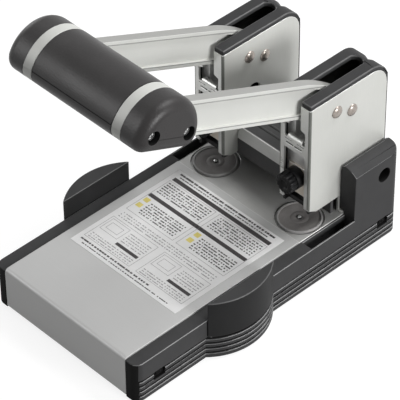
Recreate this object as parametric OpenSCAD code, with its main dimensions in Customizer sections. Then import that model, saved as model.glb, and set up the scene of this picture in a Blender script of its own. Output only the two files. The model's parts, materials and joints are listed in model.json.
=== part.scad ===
// Heavy two-hole paper punch with a bow lever, two punch towers and pull-out side guides.
// Millimetres. X runs across the table, Y from the user to the back, Z up from the floor.

/* [Base] */
// Width of the base across the two side covers
base_width = 136; // [132:1:144]
// Depth of the base from the front apron to the tower backs
base_depth = 240; // [236:1:250]
// Height of the paper table above the floor
table_height = 35; // [33:0.5:38]
// Thickness of the bent table sheet
table_sheet = 1.5; // [1.2:0.1:1.8]
// Width of each side rail beside the table
rail_width = 10.4; // [9.6:0.1:11.2]
// Wall thickness of the plastic covers
cover_wall = 2.5; // [2:0.1:2.8]

/* [Punching] */
// Distance between the two holes
hole_pitch = 80; // [78:0.5:82]
// Diameter of the punched hole
hole_size = 6; // [5.5:0.1:6.5]
// Distance from the paper edge to the hole centre
edge_margin = 12; // [11:0.1:13]
// Height of the paper throat between table and towers
throat_height = 12.2; // [11.6:0.1:13.4]
// Outer diameter of the turning cutting discs
disc_size = 31; // [30:0.2:32]

/* [Towers] */
// Width of each tower
tower_width = 27.6; // [27:0.2:29]
// Depth of each tower
tower_depth = 71.5; // [70:0.5:74]
// Height of the towers above the table
tower_height = 101; // [100:0.5:104]
// Thickness of the tower sheet
plate_thickness = 2; // [1.7:0.1:2.3]

/* [Lever] */
// Slope of the lever arms at rest
lever_slope = 23.9; // [23:0.1:25]
// Swing of the lever from rest to the end of the stroke
lever_swing = 23.5; // [22:0.1:24]
// Distance from the lever pivot to the middle of the grip
lever_reach = 184; // [178:1:192]
// Height of the arm section
arm_height = 25; // [24:0.2:26]
// Width of the arm section
arm_width = 7.6; // [7:0.1:8]
// Width of the half-round grip
grip_size = 53; // [51:0.2:55]
// Length of the grip
grip_length = 122.6; // [116:1:130]

/* [Side guides] */
// Length of each half-moon guide block
guide_length = 61; // [58:1:64]
// How far each guide block bulges out
guide_bulge = 12; // [11:0.5:13]
// Height of the guide blocks above the table
guide_rise = 13.5; // [11:0.5:16]
// How far each guide pulls out
guide_travel = 80; // [70:1:82]

/* [Hidden] */
$fn = 96;
fit = 0.05;
gap = 0.5;
slack = 0.3;
cut = 1;

half_width = base_width / 2;
front_y = -base_depth / 2;
rear_y = base_depth / 2;
table_half = half_width - rail_width;
bend_radius = 3;
apron_foot = 2.9;
rail_drop = 1.4;
rail_top = table_height - rail_drop;
cover_foot = 1.5;
rail_round = 6.5;

foot_height = 2.5;
foot_radius = 7;
foot_inset_x = 20;
foot_inset_y = 18;
pan_thickness = 2;
pan_top = foot_height + pan_thickness;
pan_half = half_width - cover_wall;
pan_front = front_y + cover_wall;
pan_rear = rear_y - cover_wall;

trim_back = 1;
trim_top = 3.6;
tower_front = rear_y - tower_depth - trim_back;
tower_rear = rear_y - trim_back;
tower_x = hole_pitch / 2;
tower_half = tower_width / 2;
tower_inner = tower_half - plate_thickness;
tower_top = table_height + tower_height;
tower_bottom = table_height + throat_height;
tower_round = 14;
front_foot_rise = 4.3;
front_foot_run = 7.6;
leg_setback = 29;
leg_front = tower_front + leg_setback;
leg_flange = 3.4;
flange_inset = 6;
flange_end = tower_rear - flange_inset;

die_drop = 0.8;
die_top = table_height - die_drop;
die_thickness = 4.7;
pocket_depth = 1.7;
pocket_floor = die_top - pocket_depth;
pocket_gap = 1.5;
die_leg = 2;
die_reach = 11.7;
die_front = tower_front - die_reach;
die_inset = 4;
die_rear = tower_rear - die_inset;
table_gap = 0.4;
table_rear = die_front - table_gap;

punch_setback = 11.6;
punch_y = tower_front + punch_setback;
disc_setback = 6.3;
disc_y = tower_front + disc_setback;
disc_radius = disc_size / 2;
pocket_radius = disc_radius + pocket_gap;
disc_rim = 1.4;
disc_dish = 0.6;
disc_float = 0.1;
disc_top = table_height - disc_dish;
pin_radius = 1.2;
pin_head_radius = 1.8;
pin_head_height = 0.35;

pivot_setback = 39;
pivot_y = tower_front + pivot_setback;
pivot_drop = 20.2;
pivot_z = tower_top - pivot_drop;
pivot_radius = 4;
stop_radius = 2.4;
stop_reach = 15.6;
stop_pin_y = pivot_y - stop_reach * cos(lever_slope);
stop_pin_z = pivot_z + stop_reach * sin(lever_slope);
rivet_radius = 4.5;
rivet_height = 2;
rivet_crown = 2.6;

drive_reach = pivot_y - punch_y;
drive_rest = lever_swing / 2;
drive_rise = drive_reach * tan(drive_rest);
stroke = 2 * drive_rise;
drive_z = pivot_z + drive_rise;
drive_radius = 3;
drive_slack = 0.4;
drive_angle = drive_rest - lever_slope;
drive_near = drive_reach - gap;
drive_far = drive_reach / cos(drive_rest) + gap;
lug_radius = 7.5;
boss_radius = 9.4;

arm_low = -8.2;
arm_high = arm_low + arm_height;
arm_rim = 3.2;
arm_web = 3.6;
arm_half = arm_width / 2;
neck_start = 46;
neck_sink = 1.2;
neck_drop = arm_high - boss_radius + neck_sink;
neck_radius = (neck_start * neck_start + neck_drop * neck_drop) / (2 * neck_drop);
grip_radius = grip_size / 2;
grip_half = grip_length / 2;
grip_lift = 2.7;
grip_depth = 9;
keel_half = grip_radius - slack;
keel_flat = keel_half - grip_depth;
grip_wall = 3;
grip_round = 5;
web_start = 22;
web_gap = 4;
web_end = lever_reach - grip_radius - web_gap;
taper_gap = 2;
taper_start = lever_reach - grip_radius - taper_gap;
cap_start = tower_x + arm_half;
middle_half = tower_x - arm_half;
cap_screw_u = 15.5;
cap_screw_v = 3;
cap_screw_radius = 1.7;
cap_head_radius = 3.6;
cap_well_radius = 4.8;
cap_head_height = 2.2;
cap_head_depth = 4.6;
cap_boss_radius = 4.2;
cap_boss_length = 18;
boss_web = 2.5;
boss_web_top = sqrt(pow(grip_radius - grip_wall / 2, 2) - pow(cap_screw_u, 2));
cap_screw_hold = 10;
cap_screw_end = middle_half - cap_screw_hold;

tip_rest = disc_top + slack + stroke;
strip_drop = 0.7;
strip_low = tower_bottom - strip_drop;
strip_rise = 3;
strip_high = tower_bottom + strip_rise;
strip_setback = 6.3;
strip_front = tower_front + strip_setback;
strip_depth = 28.7;
lip_width = 2;
lip_setback = 2.6;
lip_front = tower_front + lip_setback;
strip_rear = strip_front + strip_depth;
holder_half = tower_inner - slack;
holder_setback = 5.5;
holder_front = tower_front + holder_setback;
holder_behind = 6;
holder_rear = punch_y + holder_behind;
holder_low = strip_high + stroke + gap;
holder_height = 38;
holder_high = holder_low + holder_height;
fork_clear = 0.7;
fork_half = arm_half + fork_clear;
fork_rise = 5.5;
fork_top = drive_z + fork_rise;
bit_radius = hole_size / 2;
bit_wall = 0.9;
bit_bore = bit_radius - bit_wall;
bit_hold = 18;
bit_seat = holder_low + bit_hold;
bevel = 1.6;
tip_land = 0.15;
spring_behind = 16;
spring_y = punch_y + spring_behind;
spring_radius = 5;
spring_wall = 1.2;
shelf_rise = 24;
shelf_low = holder_low + shelf_rise;
shelf_height = 5;
shelf_half = 6;
plate_depth = 1.6;
plate_half = 8.4;
plate_drop = 5;
plate_low = holder_low - plate_drop;
plate_rise = 18;
plate_high = holder_low + plate_rise;
knob_rise = 10.4;
knob_z = holder_low + knob_rise;
knob_radius = 7.6;
knob_length = 13.6;
knob_flange = 3.4;
knob_rear = holder_front - plate_depth - fit;
knob_front = knob_rear - knob_length;
flute_radius = 1.7;
flute_count = 10;
stud_radius = 2;
stud_hold = 2.2;
stud_end = holder_front + stud_hold;
stud_clear = 0.2;

slot_half = 5.2;
window_half = 9.2;
slot_depth = 19.8;
slot_low = tower_top - slot_depth;
shoulder_drop = 1.4;
shoulder_low = slot_low - shoulder_drop;
bridge_drop = 32;
bridge_high = tower_top - bridge_drop;
bridge_height = 9;
bridge_low = bridge_high - bridge_height;
curl_radius = 2.4;
curl_half = 6.6;
curl_lap = 0.4;
look_hole_setback = 28.5;
look_hole_y = tower_front + look_hole_setback;
look_hole_rise = 56;
look_hole_z = table_height + look_hole_rise;
look_hole_radius = 6.5;
lever_slot_length = 60;
lever_slot_end = tower_front + lever_slot_length;
slot_end_fullness = 1.12;
slot_end_radius = slot_half * slot_end_fullness;
slot_end_y = lever_slot_end - slot_end_radius;
slot_side_end = slot_end_y + sqrt(pow(slot_end_radius, 2) - pow(slot_half, 2));
notch_depth = 1.6;
notch_half = 4.5;
notch_floor = tower_round + trim_back - notch_depth;
notch_setback = 6;
notch_rise = 5.5;

house_setback = 30;
house_front = tower_front + house_setback;
house_out_rise = 35.6;
house_out = table_height + house_out_rise;
house_in_rise = 40;
house_in = table_height + house_in_rise;
house_gap = 0.2;
house_start = tower_x + tower_half + house_gap;
house_flat = 3.2;
house_crown = house_start + house_flat;
house_span = half_width - house_crown;
house_arch = (pow(house_span, 2) + pow(house_in - house_out, 2)) / (2 * (house_in - house_out));
house_ease = 0.9;
house_ease_drop = 1.6;
house_side_drop = 5.5;
trough_depth = 13;
trough_floor = table_height - trough_depth;
trough_wall = 1.2;
ledge_width = 3.2;
ledge_start = table_half - ledge_width;
inner_face = table_half - fit;
rail_length = 155.5;
rail_end = front_y + rail_length;

rib_top = 19;
rib_pitch = 4.15;
rib_groove = 1.5;
rib_depth = 1;
rib_count = 4;
clip_half_y = 4.6;
clip_half_z = 3.2;
clip_z = 16.2;
clip_setback = 20;
clip_front = front_y + clip_setback;
clip_inset = 15;
clip_rear = rear_y - clip_inset;
clip_depth = 2;
clip_screw_radius = 2.4;
clip_screw_height = 1.2;
house_screw_setback = 57.4;
house_screw_y = tower_front + house_screw_setback;
house_screw_rise = 22.8;
house_screw_z = table_height + house_screw_rise;
house_bore = 5.2;
house_boss = 7;
house_seat_depth = 3;
house_seat = house_start + house_seat_depth;
house_head_radius = 4.2;
house_head_height = 2.6;
house_shank = 2;

guide_setback = 91;
guide_y = front_y + guide_setback;
guide_radius = (guide_length * guide_length / 4 + guide_bulge * guide_bulge) / (2 * guide_bulge);
guide_centre = half_width + guide_bulge - guide_radius;
guide_low = rib_top + gap;
guide_high = table_height + guide_rise;
guide_gap = 0.7;
guide_face = half_width + guide_gap;
bar_width = 14;
bar_height = 3;
bar_rise = 5;
bar_low = guide_low + bar_rise;
bar_high = bar_low + bar_height;
bar_offset = 13;
bar_slack = 0.4;
bar_pocket = 5.5;
bar_gap = 3;
bar_inner = cover_wall + bar_gap - table_half;
saddle_x = 38;
saddle_length = 6;
saddle_wall = 3;

stop_y = punch_y + edge_margin;
stop_half = tower_x + tower_inner;
cover_inset = 1.2;
cover_back = rear_y - cover_inset;
hood_setback = 13.5;
hood_front = tower_front + hood_setback;
hood_low = tower_bottom - strip_drop;
hood_band_rise = 25.4;
hood_band = table_height + hood_band_rise;
hood_edge_rise = 34;
hood_edge = table_height + hood_edge_rise;
hood_lean = 2;
hood_top_rise = 40;
hood_top = table_height + hood_top_rise;
hood_half = tower_x - tower_half;
hood_round = 4;
hood_inside = 5;
hood_ribs = 5;
hood_rib_first = 8;
hood_rib_pitch = 5.5;
hood_rib_radius = 1.1;
hood_slope = (hood_top - hood_edge) / (cover_back - hood_round - hood_front - hood_lean);
skirt_half = house_start - house_gap;
band_thickness = 0.8;
band_inset = 0.6;

label_half = 50;
label_setback = 50.5;
label_front = front_y + label_setback;
label_gap = 5.9;
label_rear = table_rear - label_gap;
label_thickness = 0.15;

// A box between two corners
module block(low, high) {
    translate(low)
        cube(high - low);
}

// A round bar along X
module bar_x(from, to, y, z, radius) {
    translate([from, y, z])
        rotate([0, 90, 0])
            cylinder(h = to - from, r = radius);
}

// A round bar along Y
module bar_y(from, to, x, z, radius) {
    translate([x, from, z])
        rotate([-90, 0, 0])
            cylinder(h = to - from, r = radius);
}

// A round bar along Z
module bar_z(from, to, x, y, radius) {
    translate([x, y, from])
        cylinder(h = to - from, r = radius);
}

// A profile in Y and Z drawn out along X
module along_x(from, to) {
    translate([from, 0, 0])
        rotate([90, 0, 90])
            linear_extrude(height = to - from)
                children();
}

// A profile in the lever's own slope, measured from its pivot, drawn out along X
module along_lever(from, to) {
    translate([to, pivot_y, pivot_z])
        rotate([-lever_slope, 0, 0])
            rotate([90, 0, -90])
                linear_extrude(height = to - from)
                    children();
}

// Turns a right-hand piece into its left-hand twin
module left_hand() {
    mirror([1, 0, 0])
        children();
}

module base_pan() {
    color("DimGray")
        difference() {
            union() {
                block([-pan_half, pan_front, foot_height], [pan_half, pan_rear, pan_top]);
                for (turn = [0, 180])
                    translate([0, guide_y, 0])
                        rotate([0, 0, turn])
                            block([saddle_x, bar_offset - bar_width / 2 - saddle_wall, foot_height],
                                  [saddle_x + saddle_length, bar_offset + bar_width / 2 + saddle_wall,
                                   bar_high + saddle_wall]);
            }
            for (turn = [0, 180])
                translate([0, guide_y, 0])
                    rotate([0, 0, turn])
                        block([saddle_x - cut, bar_offset - bar_width / 2 - bar_slack, bar_low - bar_slack],
                              [saddle_x + saddle_length + cut, bar_offset + bar_width / 2 + bar_slack,
                               bar_high + bar_slack]);
        }
}

module feet() {
    color("Black")
        for (x = [foot_inset_x - pan_half, pan_half - foot_inset_x])
            for (y = [front_y + foot_inset_y, rear_y - foot_inset_y])
                bar_z(0, foot_height, x, y, foot_radius);
}

module table_plate() {
    color("Silver") {
        block([-table_half, front_y + bend_radius, table_height - table_sheet],
              [table_half, table_rear, table_height]);
        block([-table_half, front_y, apron_foot],
              [table_half, front_y + table_sheet, table_height - bend_radius]);
        intersection() {
            difference() {
                bar_x(-table_half, table_half, front_y + bend_radius, table_height - bend_radius, bend_radius);
                bar_x(-base_width, base_width, front_y + bend_radius, table_height - bend_radius,
                      bend_radius - table_sheet);
            }
            block([-base_width, front_y - cut, table_height - bend_radius],
                  [base_width, front_y + bend_radius, table_height + cut]);
        }
    }
}

module table_label() {
    color("White")
        block([-label_half, label_front, table_height],
              [label_half, label_rear, table_height + label_thickness]);
}

module die_plate() {
    color("Gray")
        difference() {
            union() {
                block([-table_half, die_front, die_top - die_thickness], [table_half, die_rear, die_top]);
                block([-table_half, die_front, pan_top], [table_half, die_front + die_leg, die_top]);
                block([-table_half, die_rear - die_leg, pan_top], [table_half, die_rear, die_top]);
            }
            for (x = [-tower_x, tower_x]) {
                bar_z(pocket_floor, table_height, x, disc_y, pocket_radius);
                bar_z(die_top - die_thickness - cut, table_height, x, disc_y, pin_radius + fit);
            }
        }
}

// The half-moon in plan that stands out of the right side
module half_moon(inset, face) {
    intersection() {
        translate([guide_centre, guide_y])
            circle(r = guide_radius - inset);
        translate([face, guide_y - guide_length])
            square([guide_length, 2 * guide_length]);
    }
}

// The right cover's outer wall in plan
module wall_plan() {
    translate([0, front_y + rail_round])
        square([half_width, base_depth - 2 * rail_round]);
    translate([0, front_y])
        square([half_width - rail_round, base_depth]);
    for (y = [front_y + rail_round, rear_y - rail_round])
        translate([half_width - rail_round, y])
            circle(r = rail_round);
}

// One groove under each rib, along the right side and round its half-moon foot
module rib_grooves() {
    for (step = [0 : rib_count - 1])
        translate([0, 0, rib_top - step * rib_pitch - rib_groove])
            linear_extrude(height = rib_groove)
                difference() {
                    union() {
                        translate([0, front_y])
                            square([half_width + cut, base_depth]);
                        half_moon(-cut, half_width - cover_wall);
                    }
                    translate([0, front_y - cut])
                        square([half_width - rib_depth, base_depth + 2 * cut]);
                    half_moon(rib_depth, half_width - cover_wall);
                }
}

// The rear housing's section, with an arched top
module house_outline() {
    polygon([[house_start, cover_foot], [half_width, cover_foot], [half_width, house_out],
             [house_crown, house_out], [house_crown, house_in],
             [house_start + house_ease, house_in - house_ease_drop],
             [house_start, house_in - house_side_drop]]);
    intersection() {
        translate([house_crown, house_in - house_arch])
            circle(r = house_arch);
        translate([house_crown - fit, house_out - cut])
            square([half_width - house_crown + fit, house_in]);
    }
}

// What the right cover fills before it is hollowed
module cover_outside() {
    intersection() {
        translate([0, 0, cover_foot])
            linear_extrude(height = house_in)
                wall_plan();
        union() {
            block([inner_face - cover_wall, front_y, cover_foot], [half_width, house_front + cut, rail_top]);
            translate([0, rear_y, 0])
                rotate([90, 0, 0])
                    linear_extrude(height = rear_y - house_front)
                        house_outline();
        }
    }
    block([ledge_start, front_y + bend_radius + cut, rail_top - cover_wall],
          [inner_face, die_front - cut, table_height - table_sheet]);
}

// The right cover's hollows
module cover_inside() {
    block([inner_face, front_y + cover_wall, 0], [half_width - cover_wall, rail_end, rail_top - cover_wall]);
    block([inner_face, rail_end - cut, 0],
          [half_width - cover_wall, house_front, trough_floor - cover_wall]);
    block([table_half + fit + trough_wall, rail_end + cover_wall, trough_floor],
          [half_width - trough_wall, house_front, house_in]);
    block([0, house_front + cover_wall, 0],
          [half_width - cover_wall, rear_y - cover_wall, house_out - cover_wall]);
    block([0, die_front - cut, 0],
          [table_half + fit, house_front + cover_wall + cut, die_top + plate_thickness + gap]);
    block([0, pan_front, 0], [pan_half, pan_rear, pan_top]);
    block([0, front_y - cut, 0], [table_half + fit, front_y + table_sheet + fit, table_height]);
    block([0, front_y, table_height - table_sheet], [inner_face, table_rear + cut, table_height]);
}

// A right-hand cover with its guide bar at one place along Y
module cover_body(bar_y) {
    color("DarkSlateGray")
        difference() {
            union() {
                difference() {
                    cover_outside();
                    cover_inside();
                }
                translate([0, 0, cover_foot])
                    linear_extrude(height = rib_top - cover_foot)
                        half_moon(0, half_width - cut);
                bar_x(house_start, half_width - cut, house_screw_y, house_screw_z, house_boss);
            }
            rib_grooves();
            block([0, bar_y - bar_width / 2 - bar_slack, bar_low - bar_slack],
                  [base_width, bar_y + bar_width / 2 + bar_slack, bar_high + bar_slack]);
            for (y = [clip_front, clip_rear])
                block([half_width - clip_depth, y - clip_half_y, clip_z - clip_half_z],
                      [half_width + cut, y + clip_half_y, clip_z + clip_half_z]);
            bar_x(house_seat, half_width + cut, house_screw_y, house_screw_z, house_bore);
            bar_x(house_start - cut, half_width, house_screw_y, house_screw_z, house_shank + fit);
        }
}

module side_cover_right() {
    cover_body(guide_y + bar_offset);
}

module side_cover_left() {
    left_hand()
        cover_body(guide_y - bar_offset);
}

module cover_screws() {
    color("Gray")
        for (side = [0, 1])
            mirror([side, 0, 0]) {
                for (y = [clip_front, clip_rear])
                    bar_x(half_width - clip_depth, half_width - clip_depth + clip_screw_height, y, clip_z,
                          clip_screw_radius);
                bar_x(house_seat, house_seat + house_head_height, house_screw_y, house_screw_z,
                      house_head_radius);
                bar_x(tower_x + tower_half, house_seat + cut, house_screw_y, house_screw_z, house_shank);
            }
}

module rear_cover() {
    color("DarkSlateGray") {
        along_x(-hood_half, hood_half)
            polygon([[hood_front, hood_low], [hood_front, hood_band], [hood_front + hood_lean, hood_edge],
                     [cover_back - hood_round, hood_top], [cover_back, hood_top - hood_round],
                     [cover_back, pan_top], [cover_back - cover_wall, pan_top],
                     [cover_back - cover_wall, hood_top - hood_inside],
                     [cover_back - hood_inside, hood_top - cover_wall],
                     [hood_front + hood_lean + cover_wall, hood_edge - cover_wall],
                     [hood_front + cover_wall, hood_band], [hood_front + cover_wall, hood_low]]);
        block([-hood_half, stop_y, strip_low - cut], [hood_half, stop_y + cover_wall, hood_edge]);
        block([-stop_half, stop_y, die_top], [stop_half, stop_y + cover_wall, strip_low - fit]);
        block([-skirt_half, cover_back - cover_wall, pan_top], [skirt_half, cover_back, die_top]);
        for (rib = [0 : hood_ribs - 1])
            bar_x(-hood_half, hood_half, hood_front + hood_lean + hood_rib_first + rib * hood_rib_pitch,
                  hood_edge + (hood_rib_first + rib * hood_rib_pitch) * hood_slope - hood_rib_radius / 3,
                  hood_rib_radius);
    }
}

module rear_band() {
    color("Silver")
        along_x(band_inset - hood_half, hood_half - band_inset)
            polygon([[hood_front, hood_band], [hood_front + hood_lean, hood_edge],
                     [hood_front + hood_lean - band_thickness, hood_edge],
                     [hood_front - band_thickness, hood_band]]);
}

// The outline of a tower's side plates in Y and Z, less its rounded rear corner
module side_outline() {
    polygon([[tower_front, tower_bottom + front_foot_rise], [tower_front + front_foot_run, tower_bottom],
             [leg_front, tower_bottom], [leg_front, die_top], [tower_rear, die_top],
             [tower_rear, tower_top - tower_round], [tower_rear - tower_round, tower_top - tower_round],
             [tower_rear - tower_round, tower_top], [tower_front, tower_top]]);
}

// One right-hand side plate between two places along X
module side_plate(from, to) {
    along_x(from, to)
        side_outline();
    bar_x(from, to, tower_rear - tower_round, tower_top - tower_round, tower_round);
}

// The folded front of the right tower with its slot and windows
module front_sheet() {
    translate([tower_x, tower_front + plate_thickness, 0])
        rotate([90, 0, 0])
            linear_extrude(height = plate_thickness)
                difference() {
                    translate([-tower_half, tower_bottom + front_foot_rise])
                        square([tower_width, tower_top - tower_bottom - front_foot_rise]);
                    polygon([[-slot_half, tower_top + cut], [-slot_half, slot_low],
                             [-window_half, shoulder_low], [-window_half, bridge_high],
                             [window_half, bridge_high], [window_half, shoulder_low],
                             [slot_half, slot_low], [slot_half, tower_top + cut]]);
                    translate([-window_half, 0])
                        square([2 * window_half, bridge_low]);
                }
}

module tower_frame_right() {
    color("Gainsboro")
        difference() {
            union() {
                side_plate(tower_x - tower_half, tower_x - tower_inner);
                side_plate(tower_x + tower_inner, tower_x + tower_half);
                front_sheet();
                for (side = [-1, 1])
                    translate([tower_x + side * (tower_half + leg_flange / 2), 0, 0])
                        block([-leg_flange / 2 - fit, leg_front, die_top],
                              [leg_flange / 2, flange_end, die_top + plate_thickness]);
                intersection() {
                    difference() {
                        bar_x(tower_x - curl_half, tower_x + curl_half, tower_front + curl_radius,
                              bridge_high, curl_radius);
                        bar_x(0, base_width, tower_front + curl_radius, bridge_high,
                              curl_radius - plate_thickness / 2);
                    }
                    block([0, tower_front, bridge_high - curl_lap],
                          [base_width, tower_front + 2 * curl_radius, bridge_high + 2 * curl_radius]);
                }
            }
            bar_x(0, base_width, pivot_y, pivot_z, pivot_radius + fit);
            bar_x(0, base_width, stop_pin_y, stop_pin_z, stop_radius + fit);
            bar_x(0, tower_x, look_hole_y, look_hole_z, look_hole_radius);
        }
}

module tower_frame_left() {
    left_hand()
        tower_frame_right();
}

module tower_trim_right() {
    corner_y = tower_rear - tower_round;
    corner_z = tower_top - tower_round;
    color("DimGray")
        difference() {
            union() {
                block([tower_x - tower_half, tower_front + gap, tower_top],
                      [tower_x + tower_half, corner_y, tower_top + trim_top]);
                block([tower_x - tower_half, tower_rear, die_top + gap],
                      [tower_x + tower_half, rear_y, corner_z + trim_top - trim_back]);
                intersection() {
                    bar_x(tower_x - tower_half, tower_x + tower_half, corner_y,
                          corner_z + trim_top - trim_back, tower_round + trim_back);
                    block([0, corner_y, corner_z], [base_width, rear_y + cut, tower_top + trim_top + cut]);
                }
            }
            block([0, tower_front - cut, 0], [base_width, tower_rear, corner_z]);
            block([0, tower_front - cut, 0], [base_width, corner_y, tower_top]);
            bar_x(0, base_width, corner_y, corner_z, tower_round);
            block([tower_x - slot_half, 0, corner_z],
                  [tower_x + slot_half, slot_side_end, tower_top + trim_top + cut]);
            intersection() {
                bar_z(corner_z, tower_top + trim_top + cut, tower_x, slot_end_y, slot_end_radius);
                block([tower_x - slot_half, slot_end_y, corner_z],
                      [tower_x + slot_half, lever_slot_end + cut, tower_top + trim_top + cut]);
            }
            intersection() {
                translate([tower_x, corner_y, corner_z + trim_top - trim_back])
                    rotate([0, 90, 0])
                        rotate_extrude()
                            polygon([[notch_floor, 0], [notch_floor + 2 * notch_depth, -2 * notch_half],
                                     [notch_floor + 2 * notch_depth, 2 * notch_half]]);
                block([0, corner_y + notch_setback, corner_z + trim_top - trim_back + notch_rise],
                      [base_width, rear_y + cut, tower_top + trim_top + cut]);
            }
        }
}

module tower_trim_left() {
    left_hand()
        tower_trim_right();
}

module stripper_right() {
    color("DimGray")
        difference() {
            union() {
                block([tower_x - tower_inner, strip_front, strip_low],
                      [tower_x + tower_inner, strip_rear, strip_high]);
                for (side = [-1, 1])
                    translate([tower_x + side * (tower_inner - lip_width / 2), 0, 0])
                        block([-lip_width / 2, lip_front, strip_low],
                              [lip_width / 2, strip_front + cut, strip_high]);
            }
            bar_z(0, tower_top, tower_x, punch_y, bit_radius + fit);
        }
}

module stripper_left() {
    left_hand()
        stripper_right();
}

// A headed pin through both towers' plates
module tower_pin(y, z, radius) {
    for (x = [-tower_x, tower_x])
        translate([x, y, z]) {
            translate([-tower_half, 0, 0])
                rotate([0, 90, 0])
                    cylinder(h = tower_width, r = radius);
            for (side = [0, 180])
                rotate([0, side, 0])
                    translate([tower_half, 0, 0])
                        rotate([0, 90, 0])
                            cylinder(h = rivet_height, r1 = rivet_radius, r2 = rivet_crown);
        }
}

module lever_pivots() {
    color("LightGray")
        tower_pin(pivot_y, pivot_z, pivot_radius);
}

module stop_pins() {
    color("LightGray")
        tower_pin(stop_pin_y, stop_pin_z, stop_radius);
}

module disc_pins() {
    color("LightGray")
        for (x = [-tower_x, tower_x]) {
            bar_z(die_top - die_thickness, disc_top + disc_float, x, disc_y, pin_radius);
            bar_z(disc_top + disc_float, disc_top + disc_float + pin_head_height, x, disc_y,
                  pin_head_radius);
        }
}

module cutting_disc_right() {
    color("SlateGray")
        difference() {
            bar_z(pocket_floor + disc_float, table_height, tower_x, disc_y, disc_radius);
            bar_z(disc_top, table_height + cut, tower_x, disc_y, disc_radius - disc_rim);
            bar_z(0, table_height, tower_x, disc_y, pin_radius + fit);
        }
}

module cutting_disc_left() {
    left_hand()
        cutting_disc_right();
}

// The half-round top of the grip, about the lever pivot
module grip_dome() {
    intersection() {
        translate([lever_reach, grip_lift])
            circle(r = grip_radius);
        translate([lever_reach - 2 * grip_radius, grip_lift])
            square([4 * grip_radius, 2 * grip_radius]);
    }
}

// The flat keel under the grip, up to a lap above the parting line
module grip_keel(lap) {
    intersection() {
        union() {
            for (side = [-1, 1])
                translate([lever_reach + side * keel_flat, grip_lift])
                    circle(r = grip_depth);
            translate([lever_reach - keel_flat, grip_lift - grip_depth])
                square([2 * keel_flat, 2 * grip_depth]);
        }
        translate([lever_reach - 2 * grip_radius, grip_lift - 2 * grip_radius])
            square([4 * grip_radius, 2 * grip_radius + lap]);
    }
}

// The two screw places of a grip end, about the lever pivot
module at_cap_screws() {
    for (side = [-1, 1])
        translate([lever_reach + side * cap_screw_u, grip_lift + cap_screw_v])
            children();
}

// The outline of an arm, with its tail boss, drive lug and grip eye
module arm_outline() {
    polygon([[neck_start, arm_low], [taper_start, arm_low],
             [lever_reach - grip_radius / 2, grip_lift - grip_depth],
             [lever_reach - grip_radius / 2, arm_high], [neck_start, arm_high]]);
    intersection() {
        translate([0, arm_low])
            square([neck_start + cut, arm_height]);
        translate([neck_start, arm_high - neck_radius])
            circle(r = neck_radius);
    }
    circle(r = boss_radius);
    rotate([0, 0, drive_angle])
        translate([drive_reach, 0])
            circle(r = lug_radius);
    grip_dome();
    grip_keel(cut);
}

// The holes of an arm, for its pivot, its stop pin, its drive pin and the grip screws
module arm_holes() {
    circle(r = pivot_radius + fit);
    intersection() {
        difference() {
            circle(r = stop_reach + stop_radius + gap - fit);
            circle(r = stop_reach - stop_radius - gap + fit);
        }
        polygon([[0, 0], [2 * stop_reach, 0], [2 * stop_reach, 2 * stop_reach * tan(lever_swing)]]);
    }
    for (turn = [0, lever_swing])
        rotate([0, 0, turn])
            translate([stop_reach, 0])
                circle(r = stop_radius + gap);
    rotate([0, 0, drive_angle]) {
        translate([drive_near, -drive_radius - drive_slack])
            square([drive_far - drive_near, 2 * (drive_radius + drive_slack)]);
        for (reach = [drive_near, drive_far])
            translate([reach, 0])
                circle(r = drive_radius + drive_slack);
    }
    at_cap_screws()
        circle(r = cap_screw_radius + fit);
}

// The sunk face of an arm, a rim's width inside its outline
module arm_pocket() {
    intersection() {
        translate([web_start, arm_low + arm_rim])
            square([web_end - web_start, arm_height - 2 * arm_rim]);
        union() {
            translate([neck_start, arm_low])
                square([lever_reach, arm_height]);
            translate([neck_start, arm_high - neck_radius])
                circle(r = neck_radius - arm_rim);
        }
    }
}

module arm_right() {
    color("Gainsboro")
        difference() {
            along_lever(tower_x - arm_half, tower_x + arm_half)
                difference() {
                    arm_outline();
                    arm_holes();
                }
            for (side = [-1, 1])
                along_lever(tower_x + side * arm_half - (arm_half - arm_web / 2),
                            tower_x + side * arm_half + (arm_half - arm_web / 2))
                    arm_pocket();
        }
}

module arm_left() {
    left_hand()
        arm_right();
}

module grip_upper() {
    color("DimGray") {
        along_lever(-middle_half, middle_half)
            difference() {
                grip_dome();
                translate([lever_reach, grip_lift])
                    circle(r = grip_radius - grip_wall);
            }
        for (start = [-middle_half, middle_half - cap_boss_length])
            along_lever(start, start + cap_boss_length)
                at_cap_screws()
                    difference() {
                        union() {
                            circle(r = cap_boss_radius);
                            translate([-boss_web / 2, 0])
                                square([boss_web, boss_web_top - cap_screw_v]);
                        }
                        circle(r = cap_screw_radius + fit);
                    }
    }
}

module grip_lower() {
    color("DimGray")
        along_lever(-middle_half, middle_half)
            difference() {
                grip_keel(0);
                at_cap_screws()
                    circle(r = cap_boss_radius + fit);
            }
}

// A right-hand grip end as a rounded drum on its own axis
module cap_drum() {
    rotate_extrude()
        union() {
            square([grip_radius - grip_round, grip_half - cap_start]);
            square([grip_radius, grip_half - cap_start - grip_round]);
            intersection() {
                translate([grip_radius - grip_round, grip_half - cap_start - grip_round])
                    circle(r = grip_round);
                square([grip_radius + cut, grip_half]);
            }
        }
}

// A right-hand grip end's outline along X with two rounded corners
module cap_profile(half) {
    translate([cap_start, -half])
        square([grip_half - grip_round - cap_start, 2 * half]);
    translate([cap_start, grip_round - half])
        square([grip_half - cap_start, 2 * (half - grip_round)]);
    for (side = [-1, 1])
        translate([grip_half - grip_round, side * (half - grip_round)])
            circle(r = grip_round);
}

// Puts a piece on the grip's own axis
module at_grip() {
    translate([0, pivot_y, pivot_z])
        rotate([-lever_slope, 0, 0])
            translate([0, -lever_reach, grip_lift])
                children();
}

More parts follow.
